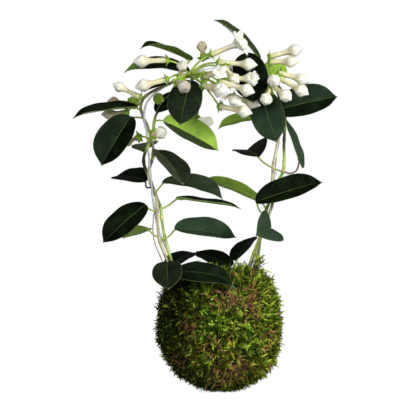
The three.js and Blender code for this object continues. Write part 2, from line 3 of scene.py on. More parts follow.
import bmesh
import bpy
import numpy as np
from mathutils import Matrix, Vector


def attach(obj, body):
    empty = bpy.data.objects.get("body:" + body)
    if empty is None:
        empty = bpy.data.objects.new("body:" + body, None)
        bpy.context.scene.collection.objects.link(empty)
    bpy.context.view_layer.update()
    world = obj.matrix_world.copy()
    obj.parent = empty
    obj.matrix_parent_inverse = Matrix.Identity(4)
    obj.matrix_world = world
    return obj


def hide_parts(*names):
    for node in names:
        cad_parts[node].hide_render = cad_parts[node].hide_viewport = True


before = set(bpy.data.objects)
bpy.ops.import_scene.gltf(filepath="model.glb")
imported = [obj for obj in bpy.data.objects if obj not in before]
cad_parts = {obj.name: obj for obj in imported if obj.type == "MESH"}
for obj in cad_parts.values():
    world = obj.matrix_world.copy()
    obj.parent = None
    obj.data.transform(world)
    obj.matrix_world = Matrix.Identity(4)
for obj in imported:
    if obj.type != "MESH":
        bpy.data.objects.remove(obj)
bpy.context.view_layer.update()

# Camera
# The photograph was taken level and from far off, so the camera has a long lens, square to the hoop.
# It takes in 416 mm of the plane that the hoop stands in.
CAMERA_DISTANCE = 2.2
CAMERA_X = -0.011
CAMERA_HEIGHT = 0.184
VIEW_WIDTH = 0.416
SENSOR_WIDTH = 36

photo_camera = bpy.data.objects.new("photo_camera", bpy.data.cameras.new("photo_camera"))
photo_camera.data.sensor_width = SENSOR_WIDTH
photo_camera.data.lens = SENSOR_WIDTH * CAMERA_DISTANCE / VIEW_WIDTH
photo_camera.location = (CAMERA_X, -CAMERA_DISTANCE, CAMERA_HEIGHT)
photo_camera.rotation_euler = (math.pi / 2, 0, 0)
bpy.context.scene.collection.objects.link(photo_camera)
bpy.context.scene.camera = photo_camera

# Floor and light
# A white studio: a wide white floor under a dim surround, one soft lamp low at the front right, a
# wider and weaker one in front, and a small one low behind. The floor and the surround look white
# to the camera alone.
FLOOR_SIZE = 40
FLOOR_COLOUR = (0.3, 0.3, 0.3, 1)
FLOOR_GLOW_SEEN = (0.97, 0.97, 0.97, 1)
FLOOR_GLOW = (0.20, 0.20, 0.20, 1)
SURROUND_STRENGTH = 0.17
# Each lamp's place and width in metres, and its power in watts.
LAMPS = {
    "key_lamp": ((1.3, -1.3, 0.85), 0.45, 33),
    "back_lamp": ((-0.1, 1.9, 0.12), 0.5, 14),
    "fill_lamp": ((-0.5, -1.9, 0.9), 1.4, 23),
}
LIT_POINT = Vector((0, 0, 0.19))


class Signal:
    """One socket of a shader. Sums on signals add the nodes that work them out."""

    def __init__(self, tree, socket=None):
        self.tree = tree
        self.socket = socket

    def node(self, kind, settings, inputs, output=0):
        made = self.tree.nodes.new(kind)
        for name, value in settings.items():
            setattr(made, name, value)
        for name, value in inputs.items():
            self.feed(made.inputs[name], value)
        return Signal(self.tree, made.outputs[output])

    def feed(self, socket, value):
        if isinstance(value, Signal):
            self.tree.links.new(value.socket, socket)
        else:
            socket.default_value = value

    def math(self, operation, *values):
        return self.node("ShaderNodeMath", {"operation": operation}, dict(enumerate(values)))

    def __add__(self, other):
        return self.math("ADD", self, other)

    def __sub__(self, other):
        return self.math("SUBTRACT", self, other)

    def __rsub__(self, other):
        return self.math("SUBTRACT", other, self)

    def __mul__(self, other):
        return self.math("MULTIPLY", self, other)

    def __truediv__(self, other):
        return self.math("DIVIDE", self, other)

    def __abs__(self):
        return self.math("ABSOLUTE", self)

    __radd__ = __add__
    __rmul__ = __mul__

    def between(self, low, high):
        """0 below low, 1 above high and a soft step from one to the other."""
        settings = {"interpolation_type": "SMOOTHSTEP"}
        return self.node("ShaderNodeMapRange", settings, {"Value": self, "From Min": low, "From Max": high})

    def mix(self, first, second):
        """The first colour where this signal is 0, and the second where it is 1."""
        settings = {"data_type": "RGBA"}
        return self.node("ShaderNodeMix", settings, {0: self, 6: first, 7: second}, output=2)

    def value(self, name):
        """A number that the mesh carries at its points."""
        return self.node("ShaderNodeAttribute", {"attribute_name": name}, {}, output="Fac")

    def seen(self):
        """1 for what the camera sees directly, and 0 for what only lights other things."""
        return self.node("ShaderNodeLightPath", {}, {}, output="Is Camera Ray")

    def noise(self, size, detail=3, stretch=(1, 1, 1)):
        """Soft blotches about a size in millimetres across, stretched along the axes."""
        place = self.node("ShaderNodeTexCoord", {}, {}, output="Object")
        scale = [1000 / size / each for each in stretch]
        place = self.node("ShaderNodeVectorMath", {"operation": "MULTIPLY"}, {0: place, 1: scale})
        return self.node("ShaderNodeTexNoise", {}, {"Vector": place, "Scale": 1, "Detail": detail})

    def bump(self, height, depth):
        """A normal for a height from 0 to 1 that stands a depth in millimetres."""
        inputs = {"Height": height, "Distance": depth / 1000, "Strength": 1}
        return self.node("ShaderNodeBump", {}, inputs, output="Normal")


def new_finish(name, **fixed):
    """A material and its first signal. The fixed values go straight to the shader's own sockets."""
    material = bpy.data.materials.new(name)
    material.use_nodes = True
    shader = material.node_tree.nodes["Principled BSDF"]
    for socket, value in fixed.items():
        shader.inputs[socket.replace("_", " ")].default_value = value
    return material, Signal(material.node_tree)


def wear(material, **varying):
    """Feeds what changes over the surface to the material's shader."""
    shader = material.node_tree.nodes["Principled BSDF"]
    for socket, signal in varying.items():
        material.node_tree.links.new(signal.socket, shader.inputs[socket.replace("_", " ")])
    return material


def lamp(name, place, size, power):
    light = bpy.data.lights.new(name, "AREA")
    light.size = size
    light.energy = power
    made = bpy.data.objects.new(name, light)
    made.location = place
    made.rotation_euler = (LIT_POINT - Vector(place)).to_track_quat("-Z", "Y").to_euler()
    bpy.context.scene.collection.objects.link(made)


def white_surround():
    """White where the camera looks past the object, and dimmer as light."""
    world = bpy.data.worlds.new("surround")
    world.use_nodes = True
    tree = world.node_tree
    signal = Signal(tree)
    strength = signal.seen() * (1 - SURROUND_STRENGTH) + SURROUND_STRENGTH
    signal.feed(tree.nodes["Background"].inputs["Color"], (1, 1, 1, 1))
    signal.feed(tree.nodes["Background"].inputs["Strength"], strength)
    bpy.context.scene.world = world


def white_floor():
    mesh = bpy.data.meshes.new("floor")
    half = FLOOR_SIZE / 2
    corners = [(-half, -half, 0), (half, -half, 0), (half, half, 0), (-half, half, 0)]
    mesh.from_pydata(corners, [], [(0, 1, 2, 3)])
    material, signal = new_finish("floor_white", Base_Color=FLOOR_COLOUR, Roughness=1.0,
                                  Specular_IOR_Level=0.0, Emission_Strength=1.0)
    wear(material, Emission_Color=signal.seen().mix(FLOOR_GLOW, FLOOR_GLOW_SEEN))
    mesh.materials.append(material)
    made = bpy.data.objects.new("floor", mesh)
    bpy.context.scene.collection.objects.link(made)


for name, settings in LAMPS.items():
    lamp(name, *settings)
white_surround()
white_floor()
bpy.context.scene.view_settings.view_transform = "Standard"

# Soil core
# A ball of dark, peaty soil that holds the roots and the feet of the stems. It shows only through
# the gap in the top of the moss, as a dark crumbly bed.
MM = 0.001
BALL_RADIUS = 60
BALL_HALF_HEIGHT = 64.5
BALL_CENTRE = 62.5
SQUARENESS_ABOVE = 2.8
SQUARENESS_BELOW = 2.2
MOSS_THICKNESS = 12
GAP_LENGTH = 50
GAP_WIDTH = 20
GAP_X = -6
MOUND_HEIGHT = 5
MOUND_RADIUS = 11
MOUND_X = 35
CORE_CLEARANCE = 0.3
# Rows of waves hold a height, three wavelengths and three phases.
SOIL_WAVES = ((0.25, (5, 6, 7), (0, 1, 2)),)
CRUMB_COUNT = 420
CRUMB_SIZES = (0.5, 1.7)
CRUMB_STRETCH = (0.7, 1.3)
CRUMB_SINK = 0.6
BED_FALL = 0.0011
SOIL_DARK = (0.012, 0.007, 0.004, 1)
SOIL_LIGHT = (0.060, 0.033, 0.018, 1)

random = np.random.default_rng(11)


def mesh_piece(name, points, faces, materials, slot, values=None, picks=None, smooth=True):
    """A mesh in millimetres, made into a piece in metres that rides on the plant's one body."""
    mesh = bpy.data.meshes.new(name)
    mesh.from_pydata(np.asarray(points, float) * MM, [], faces)
    for material in materials:
        mesh.materials.append(material)
    if picks is not None:
        mesh.polygons.foreach_set("material_index", picks)
    for key, numbers in (values or {}).items():
        layer = mesh.attributes.new(key, "FLOAT", "POINT")
        layer.data.foreach_set("value", np.asarray(numbers, np.float32))
    if smooth:
        mesh.shade_smooth()
    made = bpy.data.objects.new(name, mesh)
    bpy.context.scene.collection.objects.link(made)
    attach(made, "root")
    return made


def unit(vectors):
    return vectors / np.linalg.norm(vectors, axis=-1, keepdims=True)


def round_net(detail):
    """Directions and triangles of an even net over a sphere."""
    net = bmesh.new()
    bmesh.ops.create_icosphere(net, subdivisions=detail, radius=1)
    directions = unit(np.array([v.co for v in net.verts]))
    faces = np.array([[v.index for v in face.verts] for face in net.faces])
    net.free()
    return directions, faces


def waves(place, rows):
    """A sum of products of sines."""
    total = 0
    for height, lengths, phases in rows:
        turns = place * (2 * math.pi / np.array(lengths)) + np.array(phases)
        total = total + height * np.sin(turns).prod(axis=-1)
    return total


def mound(place):
    away = np.hypot(place[..., 0] - MOUND_X, place[..., 1]) / MOUND_RADIUS
    return np.where(place[..., 2] > 0, MOUND_HEIGHT * np.exp(-(away**2)), 0)


def ball_surface(direction, depth, relief=None):
    """Places on the ball, sunk below its skin by a depth, with a relief that is a function of place."""
    power = np.where(direction[:, 2] > 0, SQUARENESS_ABOVE, SQUARENESS_BELOW)
    across = np.hypot(direction[:, 0], direction[:, 1]) / (BALL_RADIUS - depth)
    along = np.abs(direction[:, 2]) / (BALL_HALF_HEIGHT - depth)
    reach = (across**power + along**power) ** (-1 / power)
    if relief:
        reach = reach + relief(direction * reach[:, None])
    place = direction * reach[:, None]
    place[:, 2] = np.maximum(place[:, 2] + BALL_CENTRE, 0)
    return place


def gap_distance(place):
    """How far outside the gap in the moss's top a place is, or below 0 inside it."""
    straight = np.maximum(np.abs(place[..., 0] - GAP_X) - (GAP_LENGTH - GAP_WIDTH) / 2, 0)
    away = np.hypot(straight, place[..., 1]) - GAP_WIDTH / 2
    return np.where(place[..., 2] > BALL_CENTRE, away, BALL_RADIUS)


def join_parts(parts):
    """One list of points and one of faces from several. Faces of three corners."""
    starts = np.cumsum([0] + [len(points) for points, _ in parts])
    points = np.concatenate([points for points, _ in parts])
    faces = np.concatenate([faces + start for (_, faces), start in zip(parts, starts)])
    return points, faces


def soil_finish():
    material, signal = new_finish("soil_finish", Roughness=0.95, Specular_IOR_Level=0.2)
    grain = signal.noise(2.2, detail=6)
    colour = grain.between(0.35, 0.7).mix(SOIL_DARK, SOIL_LIGHT)
    return wear(material, Base_Color=colour, Normal=signal.bump(grain, 1.2))


def soil_core():
    """The core with its crumbs, which lie in the gap."""
    directions, faces = round_net(5)
    depth = MOSS_THICKNESS + CORE_CLEARANCE
    parts = [(ball_surface(directions, depth, lambda place: waves(place, SOIL_WAVES)), faces)]
    crumb, crumb_faces = round_net(1)
    spots = random.uniform(-1, 1, (CRUMB_COUNT, 2)) * (GAP_LENGTH / 2, GAP_WIDTH / 2) + (GAP_X, 0)
    top = BALL_CENTRE + BALL_HALF_HEIGHT - MOSS_THICKNESS - CRUMB_SINK
    for x, y in spots:
        shape = crumb * random.uniform(*CRUMB_SIZES) * random.uniform(*CRUMB_STRETCH, 3)
        parts.append((shape + (x, y, top - BED_FALL * (x**2 + y**2)), crumb_faces))
    points, faces = join_parts(parts)
    piece = mesh_piece("soil", points, faces, [soil_finish()], "soil", smooth=False)
    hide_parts("soil_core")


soil_core()

# Moss wrap
# A thick sheet of living feather moss, wrapped round the soil and grown together. Each frond is a
# thin stem with side branches. Most are green, some are dark and some have dried to brown.
SKIN_DEPTH = 4.2
GAP_EDGE = 7
GAP_DIP = 1.5
CLUMP_HEIGHT = 1.5
CLUMP_WAVES = (
    (0.7, (17, 15, 19), (0.2, 1.4, 0.7)),
    (0.7, (13, 19, 14), (1.9, 0.6, 2.7)),
    (0.6, (23, 12, 11), (0.9, 2.2, 0.1)),
)
CUSHION_WAVES = ((1.5, (57, 48, 52), (1.1, 0.4, 2.0)), (1.0, (21, 24, 19), (0.3, 2.1, 1.2)))
TOP_SINK = 2.6
TOP_SINK_HEIGHTS = (44, 58)
SHAVE_DEPTH = 5
SHAVE_MIDDLE = (-42, -12, -46)
SHAVE_RADIUS = 30
SKIN_DARK = (0.004, 0.005, 0.001, 1)
SKIN_LIGHT = (0.020, 0.026, 0.004, 1)
# How a frond is built, as shares of its length.
FROND_SHAPES = 18
FROND_PAIRS = (4, 7)
STEM_STARTS = (0, 0.25, 0.5, 0.75)
STEM_PART = 0.38
STEM_HALF_WIDTH = 0.088
BRANCH_HALF_WIDTH = 0.060
# How the fronds lie: they drift with the waves, stay short near the foot and end at these limits.
DRIFT_WAVES = ((3.2, (62, 55, 47), (0.4, 1.3, 0.9)), (1.8, (23, 27, 31), (1.4, 0.3, 2.2)))
TURN_SPREAD = 1.7
ROLL_SPREAD = 0.5
SHORTEST_AT_FOOT = 0.45
FOOT_ZONE = 22
FLAT_SPOT_TOP = 1.5
LOWEST = 0.15
BACK_REACH = 64
OLIVE_SHIFT = (1.65, 0.95, 1.4)
SPRIG_SHOULDER = (48, -14, 104)
SPRIG_RADIUS = 26
DRY_PATCHES = [
    ((12, -54, 94), 12), ((32, -48, 92), 11), ((-27, -50, 68), 9), ((2, -46, 20), 13), ((20, -46, 27), 11),
    ((-40, -38, 32), 11), ((48, -30, 99), 8), ((34, -20, 122), 8), ((46, -35, 52), 7), ((-6, -58, 48), 7),
    ((-44, 22, 84), 15), ((28, 48, 62), 18), ((-10, 50, 100), 13), ((-30, 38, 30), 14), ((40, 5, 122), 12),
]
TUFT_COUNT = 46
TUFT_SHAPES = 6
TUFT_PLACE = (38, -6, 127)
TUFT_SPREAD = (2.2, 3.2, 3.2)
TUFT_LEAN = (0.55, -0.2, 1)
TUFT_LENGTH = (6, 11)
TUFT_RISE = (45, 85)
TUFT_COLOURS = ((0.20, 0.28, 0.03, 1), (0.60, 0.85, 0.12, 1))
SPROUT_PLACES = [(-6, -13, 125), (9, -19, 120), (-20, 6, 127), (18, 10, 126), (2, 22, 121)]
SPROUTS_EACH = 5
SPROUT_RADIUS = 0.25
SPROUT_LEAF = (1.5, 1.1, 0.3)
SPROUT_LEAF_REACH = 1.4
SPROUT_COLOURS = ((0.42, 0.62, 0.06, 1), (0.20, 0.36, 0.03, 1))
TWIG_COUNT = 460
TWIG_LENGTH = (4, 12)
TWIG_LIFT = (1.5, 3.5)
TWIG_RADII = (0.27, 0.24, 0.10)
TWIG_LOWEST = 0.6
TWIG_COLOURS = ((0.38, 0.15, 0.060, 1), (0.52, 0.33, 0.17, 1))


def ramp(values, start, end):
    """0 at the start to 1 at the end, and level beyond both."""
    return np.clip((values - start) / (end - start), 0, 1)


def clumps(place):
    """Small heaps about 8 mm apart, from -1 in the gaps between them to 1 on top."""
    return np.clip(waves(place, CLUMP_WAVES), -1, 1)


def moss_relief(place):
    """Cushions and hollows of the moss, with the heap round the right stems."""
    raised = waves(place, CUSHION_WAVES) + CLUMP_HEIGHT * clumps(place) + mound(place)
    away = np.linalg.norm(place - SHAVE_MIDDLE, axis=-1) / SHAVE_RADIUS
    return raised - TOP_SINK * ramp(place[..., 2], *TOP_SINK_HEIGHTS) - SHAVE_DEPTH * np.exp(-(away**2))


def moss_skin():
    """Points and faces of the sheet that the fronds grow from. It dips to the soil in the gap."""
    directions, faces = round_net(6)
    edge = ramp(gap_distance(ball_surface(directions, 0)), 0, GAP_EDGE)
    depth = SKIN_DEPTH + (MOSS_THICKNESS + GAP_DIP - SKIN_DEPTH) * (1 - edge) ** 2
    return ball_surface(directions, depth, lambda place: moss_relief(place) * edge), faces


def skin_finish():
    material, signal = new_finish("moss_bed", Roughness=1.0, Specular_IOR_Level=0.1)
    patches = signal.noise(4, detail=5)
    colour = patches.between(0.4, 0.7).mix(SKIN_DARK, SKIN_LIGHT)
    return wear(material, Base_Color=colour, Normal=signal.bump(patches, 1.5))


def frond_shape(pairs):
    """One frond, 1 long along X with its top to Z: points, triangles, and 0 at its root to 1 at its tip."""
    bend = random.uniform(-0.35, 0.35)
    sway = random.uniform(-0.8, 0.8)
    points, faces, tips = [], [], []

    def middle(t):
        return np.array([t, sway * t * t, bend * t * t])

    def blade(root, end, half_width, tip_from, tip_to):
        first = len(points)
        side = unit(np.cross(end - root, (0, 0, 1))) * half_width
        points.extend([root - side, root + side, end])
        tips.extend([tip_from, tip_from, tip_to])
        faces.append((first, first + 1, first + 2))

    for start in STEM_STARTS:
        end = min(start + STEM_PART, 1)
        blade(middle(start), middle(end), STEM_HALF_WIDTH * (1 - 0.4 * start), start, end)
    for i in range(pairs):
        t = 0.10 + 0.80 * i / pairs
        for hand in (-1, 1):
            reach = (0.25 - 0.12 * t) * random.uniform(0.5, 1.4)
            out = np.array([0.7, hand * random.uniform(0.5, 1.1), random.uniform(-0.3, 0.7)])
            root = middle(t + random.uniform(-0.04, 0.04))
            blade(root, root + unit(out) * reach, BRANCH_HALF_WIDTH, t, min(1, t + 0.35))
    return np.array(points), np.array(faces), np.array(tips)


def scatter(points, faces, count, keep):
    """Random places on a mesh, as many to a patch as its area asks, with the normals there."""
    corners = points[faces]
    normals = np.cross(corners[:, 1] - corners[:, 0], corners[:, 2] - corners[:, 0])
    area = np.linalg.norm(normals, axis=1)
    chance = area * keep(corners.mean(axis=1))
    picks = random.choice(len(faces), count, p=chance / chance.sum())
    weights = random.dirichlet((1, 1, 1), count)
    return (corners[picks] * weights[:, :, None]).sum(axis=1), normals[picks] / area[picks, None]


def leaning_axes(places, normals, lengths, rises):
    """Each frond's own forward, side and up, as long as it is, with its rise in degrees."""
    turn = waves(places, DRIFT_WAVES) + random.normal(0, TURN_SPREAD, len(places))
    level = unit(np.cross(normals, (0.3, 0.2, 1)) + 1e-6)
    crosswise = np.cross(normals, level)
    flat = np.cos(turn)[:, None] * level + np.sin(turn)[:, None] * crosswise
    rise = np.radians(rises)[:, None]
    forward = np.cos(rise) * flat + np.sin(rise) * normals
    side = np.cross(normals, flat)
    up = np.cross(forward, side)
    roll = random.normal(0, ROLL_SPREAD, len(places))[:, None]
    side, up = np.cos(roll) * side + np.sin(roll) * up, np.cos(roll) * up - np.sin(roll) * side
    return np.stack([forward, side, up], axis=1) * lengths[:, None, None]


def plant_fronds(name, shapes, places, normals, lengths, rises, root, tip):
    """One piece of fronds that are set at the places and coloured from root to tip."""
    axes = leaning_axes(places, normals, lengths, rises)
    picks = random.integers(len(shapes), size=len(places))
    tint = random.uniform(0, 1, len(places))
    parts, tips, tints = [], [], []
    for k, (shape, shape_faces, shape_tips) in enumerate(shapes):
        mine = picks == k
        made = places[mine][:, None, :] + shape @ axes[mine]
        amount, size = made.shape[:2]
        steps = size * np.arange(amount)[:, None, None]
        parts.append((made.reshape(-1, 3), (shape_faces[None] + steps).reshape(-1, 3)))
        tips.append(np.tile(shape_tips, amount))
        tints.append(np.repeat(tint[mine], size))
    points, faces = join_parts(parts)
    points[:, 1] = np.minimum(points[:, 1], BACK_REACH)
    points[:, 2] = np.maximum(points[:, 2], LOWEST)
    values = {
        "tip": np.concatenate(tips),
        "tint": np.concatenate(tints),
        # Painted shade on the ball's left, low down and high on its shoulders.
        "painted_shade": painted_shade_here(points),
        # Painted shade in the hollows between the heaps.
        "hollow_shade": np.clip(0.25 - clumps(points - (0, 0, BALL_CENTRE)), 0, 1),
    }
    finish = frond_finish(name + "_finish", root, tip)
    mesh_piece(name, points, faces, [finish], "moss", values, smooth=False)


def tinted(colour, shares, lift=0):
    """A colour with its red, green and blue multiplied by shares and lifted, up to 1."""
    return (*np.minimum(np.array(colour[:3]) * shares + lift, 1), 1)


def frond_finish(name, root, tip):
    """Dark at the root, partly the frond's own darker foot and partly painted shade under the other fronds.
    Each frond has its own tint, and is painted nearly black as shade on the ball's left, low down and high
    on its shoulders, and in the hollows between the heaps.
    """
    material, signal = new_finish(name, Roughness=0.8, Specular_IOR_Level=0.08)
    # The dark root is partly the frond's own darker foot and partly painted shade under the other fronds.
    along = signal.value("tip").between(0.08, 0.75)
    tint = signal.value("tint")
    fresh = signal.noise(30, detail=1).between(0.38, 0.55).mix(tip, tinted(tip, OLIVE_SHIFT))
    colour = along.mix(root, fresh)
    colour = (tint.between(0.55, 1.0) * along * 0.8).mix(colour, tinted(tip, 1.85, 0.03))
    colour = (1 - tint.between(0.1, 0.5)).mix(colour, tinted(tip, 0.10))
    # Painted shade in the hollows between the heaps.
    colour = (signal.value("hollow_shade") * 0.8).mix(colour, tinted(tip, 0.10))
    bright_tips = tint.between(0.55, 0.95) * along * 0.42
    # Painted shade on the ball's left, low down and high on its shoulders; the brightest tips keep some
    # light.
    colour = (signal.value("painted_shade") * (1 - bright_tips)).mix(colour, tinted(tip, 0.05))
    return wear(material, Base_Color=colour)


def painted_shade_here(places):
    """Painted shade: 0 on the right of the ball to 1 on its left and low down, and up to a half high on its
    shoulders, where the fronds are painted darker.
    """
    x, z = places[:, 0], places[:, 2]
    painted_shade = ramp(x, 2, -42) + ramp(z, 40, -20) + 0.5 * ramp(z, 98, 124)
    return np.clip(painted_shade, 0, 1) * ramp(z, 138, 124)


def open_ground(places, margin):
    """Where fronds can stand: further than a margin from the gap's edge, and not under the flat spot."""
    return (gap_distance(places) > margin) * (places[:, 2] > FLAT_SPOT_TOP)


def dry_patch(places):
    """0 where the moss is fresh to 1 where it has dried."""
    worst = np.zeros(len(places))
    for middle, radius in DRY_PATCHES:
        away = np.linalg.norm(places - middle, axis=-1) / radius
        worst = np.maximum(worst, np.clip(1.5 * np.exp(-(away**2)), 0, 1))
    return worst


def green_here(places):
    """Fewer green fronds stand in the dried patches."""
    return open_ground(places, 1) * (1 - 0.55 * dry_patch(places))


def hills_here(places):
    """The bright fronds crowd on top of the heaps and leave dark gaps between them."""
    return green_here(places) * (0.25 + np.clip(clumps(places - (0, 0, BALL_CENTRE)) + 0.45, 0, 1.2))


def shoulder_here(places):
    """Most of the long sprigs stand on the right shoulder of the ball."""
    away = np.linalg.norm(places - SPRIG_SHOULDER, axis=-1) / SPRIG_RADIUS
    return green_here(places) * (0.12 + np.exp(-(away**2)))


def dry_here(places):
    """The dried fronds and the twigs lie in the dried patches, some of them over the gap's edge."""
    return open_ground(places, -2) * (0.06 + dry_patch(places) * (0.4 + 0.6 * np.abs(clumps(places * 0.7))))


# How many fronds of a kind there are, how long they are, how steeply they rise, how far they stand off
# the sheet, where they grow, and their colours at root and tip.
FROND_GROUPS = {
    "moss_fronds_dark": dict(
        count=8000, length=(4, 7.5), rise=(0, 40), lift=0, where=green_here,
        root=(0.003, 0.004, 0.001, 1), tip=(0.026, 0.040, 0.003, 1)),
    "moss_fronds_green": dict(
        count=8500, length=(5.5, 9.5), rise=(5, 55), lift=0.8, where=hills_here,
        root=(0.007, 0.012, 0.001, 1), tip=(0.080, 0.190, 0.008, 1)),
    "moss_fronds_bright": dict(
        count=8500, length=(5.5, 10.5), rise=(5, 60), lift=1.8, where=hills_here,
        root=(0.030, 0.045, 0.002, 1), tip=(0.340, 0.560, 0.034, 1)),
    "moss_fronds_dry": dict(
        count=3600, length=(5, 9), rise=(0, 50), lift=1.4, where=dry_here,
        root=(0.030, 0.014, 0.005, 1), tip=(0.420, 0.245, 0.095, 1)),
    "moss_sprigs": dict(
        count=420, length=(8, 12), rise=(30, 75), lift=1, where=shoulder_here,
        root=(0.030, 0.045, 0.002, 1), tip=(0.300, 0.440, 0.035, 1)),
}


def moss_fronds(skin_points, skin_faces):
    shapes = [frond_shape(random.integers(*FROND_PAIRS)) for _ in range(FROND_SHAPES)]
    for name, kind in FROND_GROUPS.items():
        count = kind["count"]
        places, normals = scatter(skin_points, skin_faces, count, kind["where"])
        lengths = random.uniform(*kind["length"], count)
        lengths = lengths * np.clip(places[:, 2] / FOOT_ZONE, SHORTEST_AT_FOOT, 1)
        rises = random.uniform(*kind["rise"], count)
        places = places + normals * random.uniform(0, 1, (count, 1)) * kind["lift"]
        plant_fronds(name, shapes, places, normals, lengths, rises, kind["root"], kind["tip"])


def moss_tuft():
    """Long pale fronds that grow up out of the heap round the right stems."""
    shapes = [frond_shape(FROND_PAIRS[1]) for _ in range(TUFT_SHAPES)]
    places = random.normal(TUFT_PLACE, TUFT_SPREAD, (TUFT_COUNT, 3))
    normals = unit(np.array(TUFT_LEAN) + random.normal(0, 0.25, (TUFT_COUNT, 3)))
    lengths = random.uniform(*TUFT_LENGTH, TUFT_COUNT)
    rises = random.uniform(*TUFT_RISE, TUFT_COUNT)
    plant_fronds("moss_tuft", shapes, places, normals, lengths, rises, *TUFT_COLOURS)


def rod(route, radii, sides):
    """A closed rod of triangles along a route, with a radius for each of its places."""
    route = np.asarray(route, float)
    tangents = unit(np.gradient(route, axis=0))
    across = np.zeros_like(route)
    lean = np.cross(tangents[0], (0.31, 0.87, 0.38))
    for i, tangent in enumerate(tangents):
        lean = unit(lean - tangent * np.dot(lean, tangent))
        across[i] = lean
    upward = np.cross(tangents, across)
    angles = np.arange(sides) / sides * 2 * math.pi
    ring = np.cos(angles)[None, :, None] * across[:, None] + np.sin(angles)[None, :, None] * upward[:, None]
    points = route[:, None] + ring * np.broadcast_to(radii, len(route))[:, None, None]
    points = np.concatenate([points.reshape(-1, 3), route[:1], route[-1:]])
    first, last = len(points) - 2, len(points) - 1
    faces = []
    for row in range(0, first - sides, sides):
        for j in range(sides):
            a, b = row + j, row + (j + 1) % sides
            faces.extend([(a, b, b + sides), (a, b + sides, a + sides)])
    for j in range(sides):
        k = (j + 1) % sides
        faces.extend([(first, k, j), (last, first - sides + j, first - sides + k)])
    return points, np.array(faces)


def spin(turn):
    """A turn about Z, for rows of points."""
    return np.array([[math.cos(turn), math.sin(turn), 0], [-math.sin(turn), math.cos(turn), 0], [0, 0, 1]])


def mottled_finish(name, size, first, second, **fixed):
    """A finish that wanders between two colours over blotches of a size."""
    material, signal = new_finish(name, **fixed)
    return wear(material, Base_Color=signal.noise(size).between(0.3, 0.7).mix(first, second))


def moss_sprouts():
    """Seedlings with round bright leaves that have come up in the moss."""
    disc, disc_faces = round_net(1)
    leaf = disc * SPROUT_LEAF + (SPROUT_LEAF_REACH, 0, 0)
    parts = []
    for place in SPROUT_PLACES:
        for i in range(SPROUTS_EACH):
            start = np.array(place) + random.normal(0, 1.6, 3) * (1, 1, 0)
            end = start + (random.uniform(-2, 2), random.uniform(-2, 1), random.uniform(1.5, 5))
            parts.append(rod([start, (start + end) / 2, end], SPROUT_RADIUS, 4))
            parts.extend((leaf @ spin(hand * 1.4 + i) + end, disc_faces) for hand in (-1, 1))
    finish = mottled_finish("sprout_finish", 3, *SPROUT_COLOURS, Roughness=0.5)
    mesh_piece("moss_sprouts", *join_parts(parts), [finish], "moss")


def moss_twigs(skin_points, skin_faces):
    """Bits of dead needle and root that are caught in the moss."""
    places, normals = scatter(skin_points, skin_faces, TWIG_COUNT, dry_here)
    parts = []
    for place, normal in zip(places, normals):
        length = random.uniform(*TWIG_LENGTH)
        slant = unit(np.cross(normal, random.normal(size=3)))
        direction = unit(slant + normal * random.uniform(0.1, 1.0))
        start = place + normal * random.uniform(*TWIG_LIFT)
        bow = random.normal(size=3) * 0.08 * length
        route = np.array([start, start + direction * length / 2 + bow, start + direction * length])
        route[:, 1] = np.minimum(route[:, 1], BACK_REACH - 1)
        route[:, 2] = np.maximum(route[:, 2], TWIG_LOWEST)
        parts.append(rod(route, TWIG_RADII, 4))
    finish = mottled_finish("twig_finish", 6, *TWIG_COLOURS, Roughness=0.85)
    mesh_piece("moss_twigs", *join_parts(parts), [finish], "moss")


skin_points, skin_faces = moss_skin()
skin = mesh_piece("moss_skin", skin_points, skin_faces, [skin_finish()], "moss")
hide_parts("moss_wrap")
moss_fronds(skin_points, skin_faces)
moss_tuft()
moss_sprouts()
moss_twigs(skin_points, skin_faces)

# Wire hoop
# One length of steel wire in a bluish white coat, bent by hand into an arch. Both its ends are
# pushed into the soil, and it carries the vines. A dark broken line is painted along its left front side as
# shade.
WIRE_DIAMETER = 2.2
WIRE_STEP = 2.5
WIRE_SIDES = 12
WIRE_COAT = (0.88, 0.93, 0.97, 1)
WIRE_DULL = (0.76, 0.83, 0.88, 1)
# The colour of the painted shade line along one side.
WIRE_SHADE = (0.05, 0.07, 0.09, 1)
SHADED_SIDE = np.array((-0.88, -0.47, 0))
HOOP = [
    (-30, 0, 68), (-38, 0, 98), (-47, 0, 130), (-60.3, 0, 163), (-65.2, 0, 187), (-68.7, 0, 219),
    (-71.5, 0, 254), (-75, 0, 277), (-71, 0, 291), (-57, 0, 304), (-28, 0, 319), (-4, 0, 324.6),
    (18, 0, 324), (40, 0, 318), (56, 0, 305), (61, 0, 290), (60, 0, 257), (56.6, 0, 218), (53, 0, 186),
    (42, 0, 154), (34, 0, 133), (24, 0, 105), (12, 0, 70),
]


def smooth_route(points, step):
    """Places about a step apart along the smooth line through the points."""
    knots = np.array(points, float)
    knots = np.vstack([2 * knots[0] - knots[1], knots, 2 * knots[-1] - knots[-2]])
    places = []
    for before, start, end, after in zip(knots, knots[1:], knots[2:], knots[3:]):
        first, middle, last = (math.sqrt(np.linalg.norm(b - a)) for a, b in
                               ((before, start), (start, end), (end, after)))
        leave = (start - before) / first - (end - before) / (first + middle) + (end - start) / middle
        arrive = (end - start) / middle - (after - start) / (middle + last) + (after - end) / last
        leave, arrive = leave * middle, arrive * middle
        count = max(1, round(np.linalg.norm(end - start) / step))
        for t in np.arange(count) / count:
            places.append(start + leave * t + (3 * (end - start) - 2 * leave - arrive) * t**2
                          + (2 * (start - end) + leave + arrive) * t**3)
    places.append(knots[-2])
    return np.array(places)


